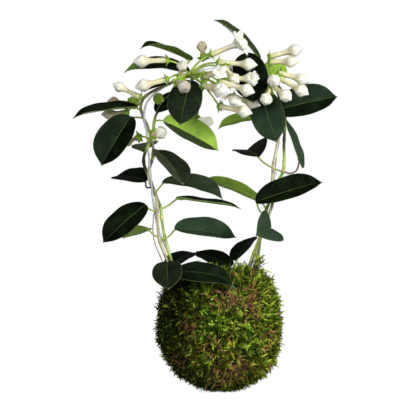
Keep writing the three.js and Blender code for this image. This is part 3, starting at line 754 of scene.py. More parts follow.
def wire_hoop():
    route = smooth_route(HOOP, WIRE_STEP)
    points, faces = rod(route, WIRE_DIAMETER / 2, WIRE_SIDES)
    outward = unit(points[:-2].reshape(len(route), WIRE_SIDES, 3) - route[:, None])
    # Painted shade: a dark line along the wire's left front side, which faces away from the key lamp.
    side_shade = ramp(outward @ SHADED_SIDE, 0.55, 0.95)
    material, signal = new_finish("wire_coat", Roughness=0.35, Coat_Weight=0.3)
    colour = signal.noise(9, detail=2).between(0.35, 0.7).mix(WIRE_COAT, WIRE_DULL)
    streaks = signal.value("side_shade") * signal.noise(14, detail=1).between(0.35, 0.5)
    wear(material, Base_Color=(streaks * 0.9).mix(colour, WIRE_SHADE))
    values = {"side_shade": np.concatenate([side_shade.ravel(), [0, 0]])}
    piece = mesh_piece("wire", points, faces, [material], "wire", values)
    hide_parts("wire_hoop")


wire_hoop()

# Vines
# Four stems twine up the wire, a woody one and a young green one on each side. They swell at the
# rings where leaves grow or grew. Old bark is cream to tan with thin lengthwise cracks.
VINE_DIAMETER = 3.2
VINE_FIT = 0.96
VINE_STEP = 1.1
VINE_SIDES = 14
RING_SPACING = 31
RING_LENGTH = 2.4
RING_SWELL = 0.24
# The heights between which bark turns old, a right stem young and green, a foot dark, and a withered
# end thin and dry, and half the length of a nearly black stretch of painted shade.
OLD_BARK = (268, 290)
YOUNG_STEM = (182, 160)
DARK_FOOT = (137, 128)
DRY_END = (270, 279)
DARK_SPAN = 13
# Phase sets where a stem's first ring is, the next value the height of its nearly black stretch of
# painted shade, and withered how much thinner its end has dried.
VINES = {
    "vine_left_woody": dict(kind="bark", phase=6, shade_at=240, withered=0, route=[
        (-32, -4, 84), (-43, -4, 112), (-51, -2.2, 130), (-59.4, -2.4, 152), (-61.2, -3.5, 167),
        (-62, -3.5, 190), (-63.4, 1.4, 199), (-67, 4, 205), (-70.4, 3.8, 216), (-69.4, 4, 225),
        (-67, 3.2, 232), (-65.8, 2.4, 243), (-67.4, 2.8, 253), (-71, 3.8, 264), (-75.4, 3.8, 274),
        (-78.4, 2, 284), (-75.8, 0.6, 293), (-69, -0.6, 299), (-61, -3.2, 303), (-51, -3.6, 307.4),
        (-39, -3.4, 313), (-19, -3.4, 317), (-2, -3.4, 320.5), (13, -3.6, 322),
    ]),
    "vine_right_woody": dict(kind="bark", phase=17, shade_at=0, withered=0, route=[
        (10, -4, 84), (24, -3.6, 112), (32, -3.6, 132), (41, -3.4, 155), (49.6, -3.4, 177),
        (53.2, -3.6, 188), (53.2, -3, 202), (53.4, -2.4, 214), (54, -2.8, 225), (57.4, -3.6, 242),
        (60, -3.6, 257), (60.6, -3.6, 280), (58.8, -3.6, 299), (49, -3.6, 313), (34, -3.6, 320.4),
        (21, -3.6, 323),
    ]),
    "vine_left_green": dict(kind="green_stem", phase=12, shade_at=230, withered=0.55, route=[
        (-26, -9, 84), (-39, -7.4, 112), (-47.6, -4.2, 132), (-53.4, -2.4, 152), (-56.8, -1, 170),
        (-58.4, 1.8, 184), (-61.6, 5, 192), (-65, 7.4, 200), (-68, 8.6, 210), (-71.4, 8, 218),
        (-75, 5, 227), (-75.2, 0.8, 235), (-73, -2.9, 241), (-70, -3.9, 248), (-67.2, -3.9, 255),
        (-65.6, -2.6, 263), (-64.6, -2, 271), (-61.6, 0, 282), (-54, 2.4, 293), (-42, 3.6, 304),
        (-28, 3.8, 312), (-10, 3.8, 318.6), (4, 3.6, 321.4),
    ]),
    "vine_right_green": dict(kind="green_stem", phase=25, shade_at=252, withered=0, route=[
        (16, 4, 86), (29, 3.6, 112), (38, 3.6, 132), (41.6, 3.6, 155), (47, 3.5, 180),
        (52.6, 3.6, 196), (58.6, 3.4, 210), (64, 2, 220), (65, 0.5, 232), (65, 0, 248), (65.8, 0, 266),
        (66.2, 0.4, 284), (64, 2.6, 298), (56, 3.8, 310), (42, 3.8, 319), (26, 3.8, 324.4),
        (12, 3.8, 325),
    ]),
}
BARK_COLOURS = {
    "cream": (0.64, 0.616, 0.437, 1),
    "tan": (0.391, 0.323, 0.187, 1),
    "crack_and_shade": (0.10, 0.075, 0.045, 1),
    "old": (0.20, 0.135, 0.085, 1),
    "green": (0.36, 0.46, 0.12, 1),
    "young": (0.42, 0.52, 0.08, 1),
}
GREEN_COLOURS = {
    "pale": (0.425, 0.527, 0.153, 1),
    "deep": (0.20, 0.32, 0.050, 1),
    "ring": (0.56, 0.54, 0.22, 1),
    "dark": (0.010, 0.014, 0.005, 1),
}


def measured(route):
    """How far along a route each of its places lies."""
    return np.concatenate([[0], np.cumsum(np.linalg.norm(np.diff(route, axis=0), axis=1))])


def vine(stem):
    """Points, faces and values of a vine. Its rings stand proud of a stem that swells and thins."""
    route = smooth_route(stem["route"], VINE_STEP)
    along = measured(route)
    phase = stem["phase"]
    ring = np.exp(-(((along + phase) % RING_SPACING - RING_SPACING / 2) / RING_LENGTH) ** 2)
    swell = 1 + RING_SWELL * ring + 0.05 * np.sin(along / 7.3 + phase) + 0.03 * np.sin(along / 2.9)
    thinned = 1 - stem["withered"] * ramp(route[:, 2], *DRY_END)
    points, faces = rod(route, VINE_DIAMETER / 2 * VINE_FIT * swell * thinned, VINE_SIDES)
    x, z = points[:, 0], points[:, 2]
    foot = ramp(z, *DARK_FOOT)
    # Painted shade: a nearly black stretch about one height of the stem. The dark foot and the dried end
    # are the stem's own colour.
    black = np.exp(-(((z - stem["shade_at"]) / DARK_SPAN) ** 4))
    dry = 1.5 * stem["withered"] * ramp(z, *DRY_END)
    values = {
        "ring": np.concatenate([np.repeat(ring, VINE_SIDES), ring[[0, -1]]]),
        "old": ramp(z, *OLD_BARK),
        "dark": np.maximum(black, np.maximum(dry, 0.8 * foot)),
        "young": ramp(z, *YOUNG_STEM) * (x > 0) * (1 - foot),
    }
    return points, faces, values


def painted(colour, colours, *layers):
    """A colour under layers. Each has the name of its own colour and its share, from 0 to 1."""
    for name, share in layers:
        colour = share.mix(colour, colours[name])
    return colour


def bark_finish():
    material, signal = new_finish("bark_finish", Roughness=0.8, Specular_IOR_Level=0.3)
    cracks = signal.noise(1.1, detail=4, stretch=(1, 1, 7))
    colour = painted(
        BARK_COLOURS["cream"], BARK_COLOURS,
        ("tan", signal.noise(11, detail=4).between(0.38, 0.66)),
        ("crack_and_shade", cracks.between(0.55, 0.72) * 0.8),
        ("green", signal.noise(30, detail=1).between(0.56, 0.66) * 0.6),
        ("old", signal.value("old") * signal.noise(5, detail=4).between(0.25, 0.6) * 0.85),
        ("tan", signal.value("ring").between(0.35, 0.9) * 0.75),
        # The painted shade stretch, with the dark foot and the dried end, in the crack colour.
        ("crack_and_shade", signal.value("dark") * 0.8),
        ("young", signal.value("young")),
    )
    height = 1 - cracks.between(0.45, 0.75)
    return wear(material, Base_Color=colour, Normal=signal.bump(height, 0.35))


def green_stem_finish():
    material, signal = new_finish("green_stem_finish", Roughness=0.45, Specular_IOR_Level=0.4)
    colour = painted(
        GREEN_COLOURS["pale"], GREEN_COLOURS,
        ("deep", signal.noise(16, detail=3).between(0.40, 0.62)),
        ("deep", signal.noise(1.3, detail=3, stretch=(1, 1, 9)).between(0.5, 0.75) * 0.45),
        ("ring", signal.value("ring").between(0.4, 0.95) * 0.8),
        ("dark", signal.value("old") * 0.55),
        # The painted shade stretch, with the dark foot and the dried end.
        ("dark", signal.value("dark") * 0.96),
    )
    return wear(material, Base_Color=colour)


def vines():
    finishes = {"bark": bark_finish(), "green_stem": green_stem_finish()}
    for node, stem in VINES.items():
        points, faces, values = vine(stem)
        kind = stem["kind"]
        piece = mesh_piece(node + "_stem", points, faces, [finishes[kind]], kind, values)
        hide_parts(node)


vines()

# Dead stem
# A thin shoot that died, grey and brittle, still stands against the vines on the left. It stands in
# the soil and leans on a leaf stalk.
DRY_STEM_DIAMETER = 1.4
DRY_STEM_TAPER = 0.25
DRY_STEM_STEP = 2
DRY_STEM_SIDES = 8
DRY_STEM_COLOURS = ((0.62, 0.52, 0.44, 1), (0.36, 0.27, 0.21, 1))
DRY_STEM = [
    (-40, 3.6, 92), (-49, 4.6, 112), (-58.6, 5, 135), (-63.4, 4.4, 146), (-66, 3.4, 158),
    (-65.6, 3.4, 178),
]


def dry_stem():
    route = smooth_route(DRY_STEM, DRY_STEM_STEP)
    along = measured(route) / measured(route)[-1]
    radii = DRY_STEM_DIAMETER / 2 * (1 - DRY_STEM_TAPER * along)
    points, faces = rod(route, radii, DRY_STEM_SIDES)
    material, signal = new_finish("dry_stem_finish", Roughness=0.9, Specular_IOR_Level=0.2)
    shade = signal.noise(3, detail=4, stretch=(1, 1, 4)).between(0.35, 0.7)
    wear(material, Base_Color=shade.mix(*DRY_STEM_COLOURS))
    piece = mesh_piece("dead_stem", points, faces, [material], "dry_stem")
    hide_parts("dry_stem")


dry_stem()

# Leaves
# Thick, waxy, evergreen leaves on short stalks, in pairs up the vines, with five from the soil. The
# top is nearly black green with a pale midrib; the underside is a lighter green, and the margin is
# a thin pale line.
LEAF_THICKNESS = 0.8
EDGE_THINNING = 0.55
WAVE_HEIGHT = 0.45
QUILT_HEIGHT = 0.10
GROOVE_DEPTH = 0.25
GROOVE_WIDTH = 0.035
RIB_HEIGHT = 0.55
RIB_WIDTH = 0.06
BLADE_ROUNDNESS = 2.3
BLADE_FULLNESS = 0.5
BLADE_POINTEDNESS = 0.45
BLADE_LEAST = 0.35
DRIP_TIP = (0.86, 0.97)
DRIP_PINCH = 0.4
HOOK_START = 0.78
FRESH_BLEND = 0.22
PALE_FROM = 0.65
STALK_IN_BLADE = 0.05
STALK_DROP = 1.0
STALK_DIAMETER = 2.0
STALK_STEP = 1.2
STALK_SIDES = 10
STALK_END_RADIUS = 0.25
# A stalk's ends are thicker than its diameter, its middle is thinner, and its foot is swollen.
STALK_ENDS = 1.12
STALK_WAIST = 0.25
STALK_SWELL = 1.25
BLADE_ROWS = 40
BLADE_COLUMNS = np.array([-1, -0.97, -0.9, -0.78, -0.6, -0.42, -0.24, -0.1, -0.03, 0])
TOP_COLOURS = {
    "dark": (0.0016, 0.0028, 0.0010, 1),
    "light": (0.0062, 0.0125, 0.0042, 1),
    "vein": (0.022, 0.036, 0.012, 1),
    "midrib": (0.065, 0.105, 0.028, 1),
    "margin": (0.070, 0.115, 0.034, 1),
    # A painted highlight on the drip tip.
    "tip": (0.16, 0.22, 0.15, 1),
    "fresh": (0.150, 0.300, 0.050, 1),
    # A grey-green film, partly dust and partly painted sheen.
    "dust_and_sheen": (0.036, 0.066, 0.036, 1),
    "dusty": (0.048, 0.050, 0.032, 1),
}
UNDER_COLOURS = {
    "dark": (0.030, 0.055, 0.014, 1),
    "light": (0.350, 0.590, 0.055, 1),
    "midrib": (0.400, 0.520, 0.150, 1),
}
EDGE_COLOURS = ((0.16, 0.24, 0.07, 1), (0.07, 0.12, 0.03, 1))
STALK_COLOURS = {
    "pale": (0.48, 0.62, 0.12, 1),
    "deep": (0.28, 0.40, 0.065, 1),
    "tan": (0.20, 0.13, 0.085, 1),
    "black": (0.030, 0.022, 0.015, 1),
}
# A grown dark leaf has these values, and each row below says where its own leaf differs. Base, tip and
# face are where the blade starts, ends and looks. Glow is painted light on the underside of its two
# halves, as light that comes through, with painted shade where a half gets less. Bloom is how much of
# the dark green top of its two halves lies under a grey-green film, partly dust and partly a painted
# sheen that is lighter on a half that faces the light, and dust is how brown that film is.
# Tan turns a stalk from green to tan at 1 and black at 2. Fresh green begins at a share of the length.
COMMON_LEAF = dict(width=34, fold=10, lobe=0.03, arch=0, hook=0, painted_light=(0.15, 0.15), bloom=(0, 0),
                   dust=0, tan=0, fresh_from=2)
LEAVES = {
    "leaf_left_flat": dict(
        stalk=[(-77.2, 2.4, 281)], base=(-82.5, -4, 284.5), tip=(-146, -10, 275),
        face=(-0.15, -0.3, 1), fold=15, arch=0.03, hook=0.03, painted_light=(0.5, 0.45)),
    "leaf_left_broad": dict(
        stalk=[(-75.4, 3.4, 274), (-81, 0, 274.6)], base=(-88.4, -8, 274), tip=(-116.5, -22, 225.6),
        face=(-0.45, -0.88, 0.12), width=41, fold=20, arch=0.03, bloom=(0.2, 0.02), tan=0.3),
    "leaf_crown_left": dict(
        stalk=[(-38, -3.4, 313.2), (-37, -6, 323)], base=(-29, -7, 331.5), tip=(-76, -38, 346),
        face=(0.3, -0.04, 0.95), width=30, fold=18, arch=0.03, hook=0.1, painted_light=(0.0, 0.22)),
    "leaf_crown_back": dict(
        stalk=[(-26, 3.8, 313), (-27, 8, 318)], base=(-31, 11, 321.6), tip=(-96, 16, 323),
        face=(0, -0.42, 0.9), arch=0.09, hook=0.05, fresh_from=0.66),
    "leaf_young": dict(
        stalk=[(-56, 1.8, 290.4), (-58.4, 3.6, 296)], base=(-60, 6, 299), tip=(-61.4, 9, 287.6),
        face=(0, 0.9, 0.3), width=11, fold=8, arch=0.03, painted_light=(0.7, 0.7)),
    "leaf_behind_heart": dict(
        stalk=[(-64.6, -2, 271), (-63, 2, 276)], base=(-61.4, 6, 280.6), tip=(-22, 38, 303),
        face=(-0.3, -0.6, 0.7), width=31, fold=12, arch=0.04),
    "leaf_heart_left": dict(
        stalk=[(-28, -3.4, 315.6), (-28, -8, 312)], base=(-29.4, -11, 308), tip=(-38.6, -46, 265),
        face=(0.05, -0.7, 0.7), fold=8, arch=0.05, lobe=0.08, bloom=(0.2, 0.3), dust=0.4),
    "leaf_pale_middle": dict(
        stalk=[(-64.6, -2, 271), (-60, -1, 271.6)], base=(-54, 0, 271.5), tip=(0, 4, 242),
        face=(0.27, 0.82, 0.5), width=32, fold=30, arch=0.02, hook=0.03, painted_light=(0.88, 0.15)),
    "leaf_drooping_left": dict(
        stalk=[(-67, 3.2, 232), (-64, -2, 236)], base=(-60, -7, 239.6), tip=(-35.5, -47, 207),
        face=(0.45, -0.6, 0.65), fold=14, arch=0.05, lobe=0.06, bloom=(0.95, 0.3), dust=0.9),
    "leaf_middle_left": dict(
        stalk=[(-63.6, 2, 200), (-60, 1.6, 204)], base=(-55, 0, 210), tip=(4, -22, 196.6),
        face=(0.2, -0.47, 0.84), fold=18, arch=0.05, hook=0.08, bloom=(0.7, 0.7), dust=0.4),
    "leaf_back_left": dict(
        stalk=[(-67, 4, 205), (-72.6, 5, 204.6)], base=(-74, 6, 211), tip=(-106, 47, 217),
        face=(-0.1, -0.5, 0.87), width=32, fold=12, arch=0.04, hook=0.03, tan=1.9),
    "leaf_low_left": dict(
        stalk=[(-61.6, -3.5, 181), (-68, -5.4, 182)], base=(-74, -7, 186.6), tip=(-115, -24, 149.5),
        face=(-0.25, -0.8, 0.5), width=32, fold=12, arch=0.03),
    "leaf_low_left_back": dict(
        stalk=[(-59.6, -2.6, 154), (-65, -1, 157)], base=(-71, 3, 163.5), tip=(-98, 46, 153),
        face=(0, 0.35, 0.9), width=27, fold=12, arch=0.04, painted_light=(0.8, 0.8)),
    "leaf_edge_on": dict(
        stalk=[(-58.2, 1.4, 182.5), (-50, 0, 187)], base=(-41.5, -2, 194), tip=(22, -6, 185),
        face=(0.1, -0.1, 1), width=32, hook=0.03, painted_light=(1.4, 1.4)),
    "leaf_low_middle": dict(
        stalk=[(-59.4, -2.4, 152), (-51, -5.6, 155)], base=(-43, -6, 163.6), tip=(17, -11, 154.5),
        face=(0.1, -0.64, 0.76), width=32, fold=24, arch=0.03, bloom=(0.7, 0.7)),
    "leaf_pale_right": dict(
        stalk=[(47, 3.5, 180), (46, 5, 185)], base=(43, 6, 190.6), tip=(-13.5, 12, 214),
        face=(0.34, 0.38, 0.86), width=29, arch=0.03, painted_light=(1.0, 0.9)),
    "leaf_slim_left": dict(
        stalk=[(-67, 2.8, 250), (-69.6, 5, 250)], base=(-72, 8, 249.6), tip=(-77, 48, 244),
        face=(-0.2, 0.16, 0.97), width=28, fold=6, arch=0.02, hook=0.1, painted_light=(0.1, 0.1)),
    "leaf_topmost": dict(
        stalk=[(38, 3.8, 320.8), (39.6, 6.6, 328)], base=(41, 9, 335.4), tip=(-3.5, 15, 375),
        face=(0.7, 0.16, 0.7), width=30, fold=4, arch=0.05, hook=0.04, painted_light=(0.35, 0.15)),
    "leaf_heart_crown": dict(
        stalk=[(23, -3.6, 322.8), (25.4, -9, 329)], base=(28, -14, 334.6), tip=(33.6, -38, 287),
        face=(0.02, -0.9, 0.44), width=36, fold=7, arch=0.03, lobe=0.08),
    "leaf_round_pale": dict(
        stalk=[(57.6, 3.6, 308.4)], base=(58, 9, 311), tip=(54.4, 26, 336), face=(0, 0.88, -0.4),
        width=25, fold=6, arch=0.03, painted_light=(0.85, 0.85)),
    "leaf_right_broad": dict(
        stalk=[(60.5, -3.6, 272), (58.6, -7.6, 277)], base=(56.4, -10, 281), tip=(117.6, -18, 294.2),
        face=(0.1, -0.88, 0.46), width=37, fold=22, arch=0.03, bloom=(0.05, 0.5)),
    "leaf_right_hanging": dict(
        stalk=[(47, -3.6, 314.4), (43, -8, 309)], base=(40, -11, 301), tip=(56.5, -28, 248.6),
        face=(-0.1, -0.9, 0.3), arch=0.03, bloom=(0.4, 0.55)),
    "leaf_small_pale": dict(
        stalk=[(60.1, -3.6, 261), (52, 1, 267)], base=(38, 5, 274.6), tip=(-1, 14, 266),
        face=(0.1, 0.44, 0.87), width=18, arch=0.07, hook=0.08, painted_light=(1.0, 1.0)),
    "leaf_folded_right": dict(
        stalk=[(64.2, 2, 221), (70, 1, 218.6), (77, -1, 221)], base=(80.8, -3, 231), tip=(68, 26, 274),
        face=(0.91, -0.4, 0.27), width=27, lobe=0.16, bloom=(1.0, 1.0), tan=1.0),
    "leaf_notched": dict(
        stalk=[(64, 2, 220), (61, -6, 221), (54, -9, 223.6), (45, -7, 229)], base=(39, -3, 235.4),
        tip=(29, 54, 243.4), face=(-0.27, -0.48, 0.85), width=40, fold=24, arch=0.03, tan=0.5),
    "leaf_right_low": dict(
        stalk=[(50.2, -3.4, 178.4), (43, -8, 179), (39, -12, 184)], base=(38, -14, 190.5),
        tip=(102.5, -17, 210.2), face=(0.17, -0.72, 0.67), width=32, fold=22, arch=0.02, hook=0.02),
    "leaf_heart_low": dict(
        stalk=[(47, -3.4, 170), (51, -6, 167)], base=(51, -9, 163.5), tip=(35.6, -56, 157),
        face=(0.78, -0.33, 0.51), width=40, fold=28, arch=0.06, lobe=0.05, bloom=(1.0, 1.0)),
    "leaf_foot_raised": dict(
        stalk=[(13, -3, 98), (16, -5, 118)], base=(16.4, -6, 132), tip=(36, 26, 155),
        face=(-0.6, -0.62, 0.5), width=27, fold=12, arch=0.03),
    "leaf_foot_back": dict(
        stalk=[(4, 2, 98), (10, 2, 116)], base=(11, 4, 125.6), tip=(-23, 32, 140),
        face=(0.2, -0.5, 0.85), width=30, fold=10, arch=0.01),
    "leaf_foot_behind": dict(
        stalk=[(-37, 6, 98), (-46, 7, 116)], base=(-50, 9, 125), tip=(-26, 50, 139.6),
        face=(-0.1, -0.4, 0.88), width=26, fold=10, arch=0.03, hook=0.03),
    "leaf_on_moss": dict(
        stalk=[(-38, -10, 98), (-47, -20, 118)], base=(-47, -30, 120), tip=(13, -63, 112.8),
        face=(-0.05, -0.66, 0.75), width=29, fold=6, arch=0.08, hook=0.13, bloom=(0.05, 0.12)),
    "leaf_foot_round": dict(
        stalk=[(-44, -10, 98), (-52, -14, 119), (-52, -26, 129)], base=(-51, -38, 129.4),
        tip=(-48.8, -82, 105.6), face=(-0.14, -0.44, 0.9), width=30, fold=8, arch=0.07, lobe=0.08,
        bloom=(0.3, 0.15), dust=0.7),
}
# A narrow new leaf that has curled.
NEW_LEAVES = {
    "leaf_curled": dict(
        stalk=[(-51, -3.8, 307.2)], base=(-52.5, -8, 307), tip=(-71.5, -13, 301.5),
        face=(0.2, -0.6, 0.75), width=8, fold=12, arch=0.14, hook=0.06, painted_light=(0.9, 0.9)),
}


def blade_frame(leaf):
    base = np.array(leaf["base"], float)
    axis = np.array(leaf["tip"], float) - base
    length = np.linalg.norm(axis)
    axis = axis / length
    normal = np.array(leaf["face"], float)
    normal = unit(normal - axis * np.dot(normal, axis))
    return base, axis, normal, np.cross(normal, axis), length


def half_width(along, width):
    """An ellipse, blunt at the foot, that is pinched to a drip tip at the other end."""
    power = BLADE_FULLNESS + BLADE_POINTEDNESS * along**2
    round_part = (1 - np.abs(2 * along - 1) ** BLADE_ROUNDNESS) ** power * width / 2
    return np.maximum(round_part * (1 - DRIP_PINCH * ramp(along, *DRIP_TIP) ** 2), BLADE_LEAST)


def blade_place(leaf, along, across, lift):
    """Places on the blade's middle surface, raised along its normal by a lift."""
    base, axis, normal, side, length = blade_frame(leaf)
    bulge = 4 * along * (1 - along)
    droop = ramp(along, HOOK_START, 1) ** 2
    half = half_width(along, leaf["width"]) * np.abs(across)
    fold = math.radians(leaf["fold"])
    forward = along - leaf["lobe"] * across**2 * (1 - along) ** 4
    upward = length * (leaf["arch"] * bulge - leaf["hook"] * droop) + half * math.sin(fold) + lift
    place = base + axis * (length * forward)[..., None] + normal * upward[..., None]
    return place + side * (np.sign(across) * half * math.cos(fold))[..., None]


def shell_faces(rows, columns):
    """Faces of four corners over the top, the underside and the rim of a sheet, whose points are a net
    of places above and the same net below."""
    net = np.arange(rows * columns).reshape(rows, columns)
    a, b, c, d = net[:-1, :-1], net[:-1, 1:], net[1:, :-1], net[1:, 1:]
    upper = np.stack([a, c, d, b], axis=-1).reshape(-1, 4)
    lower = np.stack([a, b, d, c], axis=-1).reshape(-1, 4) + net.size
    rim = np.concatenate([net[0, :], net[1:, -1], net[-1, -2::-1], net[-2:0:-1, 0]])
    after = np.roll(rim, -1)
    return upper, lower, np.stack([rim, after, after + net.size, rim + net.size], axis=-1)


def leaf_blade(leaf, seed):
    """Points, faces, picks and places of a blade. Its top has a groove and its underside a rib."""
    columns = np.concatenate([BLADE_COLUMNS, -BLADE_COLUMNS[-2::-1]])
    rows = (1 - np.cos(np.linspace(0, math.pi, BLADE_ROWS))) / 2
    along, across = np.meshgrid(rows, columns, indexing="ij")
    wave = np.sin(along * (9 + seed % 4) + seed) + 0.6 * np.sin(along * 17 + 2.1 * seed + 2 * across)
    wave = WAVE_HEIGHT * wave * across**2 * (1 - along**6) * leaf["width"] / COMMON_LEAF["width"]
    out = np.abs(across)
    quilt = QUILT_HEIGHT * np.sin(along * 60 - out * 9) * out * (1 - out)
    thick = LEAF_THICKNESS / 2 * (1 - EDGE_THINNING * out**6)
    groove = GROOVE_DEPTH * np.exp(-((across / GROOVE_WIDTH) ** 2)) * (1 - along)
    rib = RIB_HEIGHT * np.exp(-((across / RIB_WIDTH) ** 2)) * (1 - along) ** 0.7
    top = blade_place(leaf, along, across, wave + quilt + thick - groove)
    under = blade_place(leaf, along, across, wave + quilt - thick - rib)
    points = np.concatenate([top.reshape(-1, 3), under.reshape(-1, 3)])
    faces = shell_faces(*along.shape)
    picks = np.repeat([0, 1, 2], [len(each) for each in faces])
    return points, np.concatenate(faces), picks, np.tile(along.ravel(), 2), np.tile(across.ravel(), 2)


def leaf_stalk(leaf):
    """The stalk. It runs on a little way inside the blade, where it thins out."""
    middle = np.array(0.0)
    ends = (0, STALK_IN_BLADE, 2 * STALK_IN_BLADE)
    foot, neck, inside = (blade_place(leaf, middle + end, middle, -STALK_DROP) for end in ends)
    route = np.vstack([smooth_route([*leaf["stalk"], foot, neck], STALK_STEP), [inside]])
    share = measured(route) / measured(route)[-1]
    radii = STALK_DIAMETER / 2 * (STALK_ENDS - STALK_WAIST * np.sin(share * math.pi) ** 0.5)
    radii[0] = radii[0] * STALK_SWELL
    radii[-1] = STALK_END_RADIUS
    return rod(route, radii, STALK_SIDES)


def vein_lines(signal):
    """1 on the side veins, which leave the midrib at a slant, and 0 between them."""
    along, across = signal.value("along"), abs(signal.value("across"))
    turns = (along - across * 0.16) * 11
    line = signal.math("PINGPONG", turns, 0.5)
    return (1 - line.between(0.0, 0.16)) * across.between(0.02, 0.2) * (1 - across.between(0.75, 0.95))


def midrib_line(signal):
    along, across = signal.value("along"), abs(signal.value("across"))
    width = (1 - along) * 0.022 + 0.008
    return 1 - (across / width).between(0.5, 1.5)


def leaf_top_finish():
    material, signal = new_finish("leaf_top", Specular_IOR_Level=0.02)
    mottle = signal.noise(14, detail=4).between(0.35, 0.72)
    specks = signal.noise(1.4, detail=3).between(0.5, 0.8)
    # A painted sheen over the dark green top, partly a dusty film, lighter on a half that faces the light.
    bloom = signal.value("dust_and_sheen") * (mottle * 0.35 + specks * 0.3 + 0.7) + specks * 0.05
    dust_and_sheen_colour = signal.value("dusty").mix(TOP_COLOURS["dust_and_sheen"], TOP_COLOURS["dusty"])
    veins = vein_lines(signal)
    colour = painted(
        bloom.mix(mottle.mix(TOP_COLOURS["dark"], TOP_COLOURS["light"]), dust_and_sheen_colour), TOP_COLOURS,
        ("vein", veins * 0.15),
        ("midrib", midrib_line(signal) * 0.9),
        ("margin", abs(signal.value("across")).between(0.955, 0.985) * 0.7),
        # A painted highlight on the drip tip.
        ("tip", signal.value("along").between(0.955, 0.99) * 0.7),
        ("fresh", signal.value("fresh")),
    )
    relief = signal.bump(veins * 0.5 + signal.noise(0.9, detail=3) * 0.35, 0.12)
    return wear(material, Base_Color=colour, Roughness=mottle * 0.12 + 0.40, Normal=relief)


def leaf_under_finish():
    material, signal = new_finish("leaf_under", Roughness=0.6, Specular_IOR_Level=0.2)
    veins = vein_lines(signal)
    colour = painted(
        UNDER_COLOURS["dark"], UNDER_COLOURS,
        # Painted light: the underside is lighter where light seems to come through it, and darker on a
        # shaded half.
        ("light", signal.value("painted_light")),
        ("dark", signal.noise(12, detail=3).between(0.35, 0.75) * 0.3),
        ("midrib", veins * 0.30),
        ("midrib", midrib_line(signal) * 0.8),
    )
    return wear(material, Base_Color=colour, Normal=signal.bump(veins, 0.15))


def stalk_finish():
    material, signal = new_finish("leaf_stalk", Roughness=0.5, Specular_IOR_Level=0.4)
    turned = signal.value("tan")
    colour = painted(
        STALK_COLOURS["pale"], STALK_COLOURS,
        ("deep", signal.noise(13, detail=2).between(0.35, 0.65)),
        ("tan", turned),
        ("black", turned.between(1, 2)),
    )
    return wear(material, Base_Color=colour)


def leaves():
    edge = mottled_finish("leaf_edge", 7, *EDGE_COLOURS, Roughness=0.5)
    finishes = [leaf_top_finish(), leaf_under_finish(), edge, stalk_finish()]
    for seed, (node, own) in enumerate([*LEAVES.items(), *NEW_LEAVES.items()]):
        leaf = {**COMMON_LEAF, **own}
        blade, blade_faces, picks, along, across = leaf_blade(leaf, seed)
        stalk, stalk_faces = leaf_stalk(leaf)
        points = np.concatenate([blade, stalk])
        faces = [tuple(face) for face in [*blade_faces, *(stalk_faces + len(blade))]]
        picks = np.concatenate([picks, np.full(len(stalk_faces), 3)])
        along, across = (np.concatenate([each, np.zeros(len(stalk))]) for each in (along, across))
        values = {
            "along": along,
            "across": across,
            # Painted light on the underside, as light that comes through, and painted shade on a half that
            # gets less.
            "painted_light": np.where(across < 0, *leaf["painted_light"]),
            # A grey-green film on the top, partly dust and partly painted sheen.
            "dust_and_sheen": np.where(across < 0, *leaf["bloom"]),
            "fresh": ramp(along, leaf["fresh_from"], leaf["fresh_from"] + FRESH_BLEND),
            "dusty": np.full(len(points), leaf["dust"]),
            "tan": np.full(len(points), leaf["tan"]),
        }
        slot = "pale_leaf" if leaf["painted_light"][0] > PALE_FROM else "leaf"
        piece = mesh_piece(node + "_blade", points, faces, finishes, slot, values, picks)
        if node in LEAVES:
            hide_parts(node)


leaves()

# Umbels
# Heads of waxy white flowers, each on a thin stalk of its own from one knuckle. Most are still
# buds: a slim tube that ends in a knob of five petals wrapped round each other. Five yellow-green
# sepals clasp the foot of each tube. Four flowers of the crown are opening.
PEDICEL_DIAMETER = 1.9
PEDICEL_BEND = 0.55
PEDICEL_RISE = 0.1
PEDICEL_IN_TUBE = 1.5
PEDICEL_STEP = 1.6
UMBEL_STALK_RADIUS = 1.1
UMBEL_STALK_STEP = 2
KNUCKLE_RADIUS = 2.3
PETAL_COUNT = 5
BUD_SIDES = 40
BUD_RINGS = 34
FULL_BUD_LENGTH = 33
SMALLEST_KNOB = 0.72
KNOB_LENGTH = 15
KNOB_FOOT = 4
NECK_DEPTH = 17
NECK_LENGTH = 6
PETAL_STEP = 0.17
PETAL_TWIST = 0.085
CREASE_DEPTH = 0.06
CREASE_WIDTH = 0.12
CREASE_LINE = 0.10
TUBE_RIDGES = 0.04
FIRST_PETAL_TURN = 0.5
SEPAL_LENGTH = 6.5
SEPAL_WIDTH = 5
SEPAL_THICKNESS = 0.5
LOBE_LENGTH = 12.5
LOBE_WIDTH = 13.5
LOBE_THICKNESS = 0.9
LOBE_ROWS = 12
LOBE_COLUMNS = 9
# Degrees that a lobe climbs at the mouth and curls over along its length, what it loses and gains of
# them on an open flower, and how far single lobes droop.
LOBE_CLIMB = 78
LOBE_CLIMB_LOST = 32
LOBE_CURL = 25
LOBE_CURL_GAINED = 62
LOBE_DROOP = 24
LOBE_BLUNTNESS = 0.55
# A lobe that is smaller than this is more pointed.
SMALL_LOBE = 0.8
SMALL_LOBE_POINT = 0.7
CUP_OPEN = 0.5
CUP_CLOSED = 1.6
RUFFLE_HEIGHT = 0.6
MOUTH_RADIUS = 2.4
MOUTH_DEPTH = 1.2
KNOB_MIDDLE = 13
# A flower that is open further than this shows its tube's mouth, turns a little and looks forward.
OPEN_FROM = 0.4
OPEN_SPIN = 0.63
OPEN_TURN = (0, -0.15, 0)
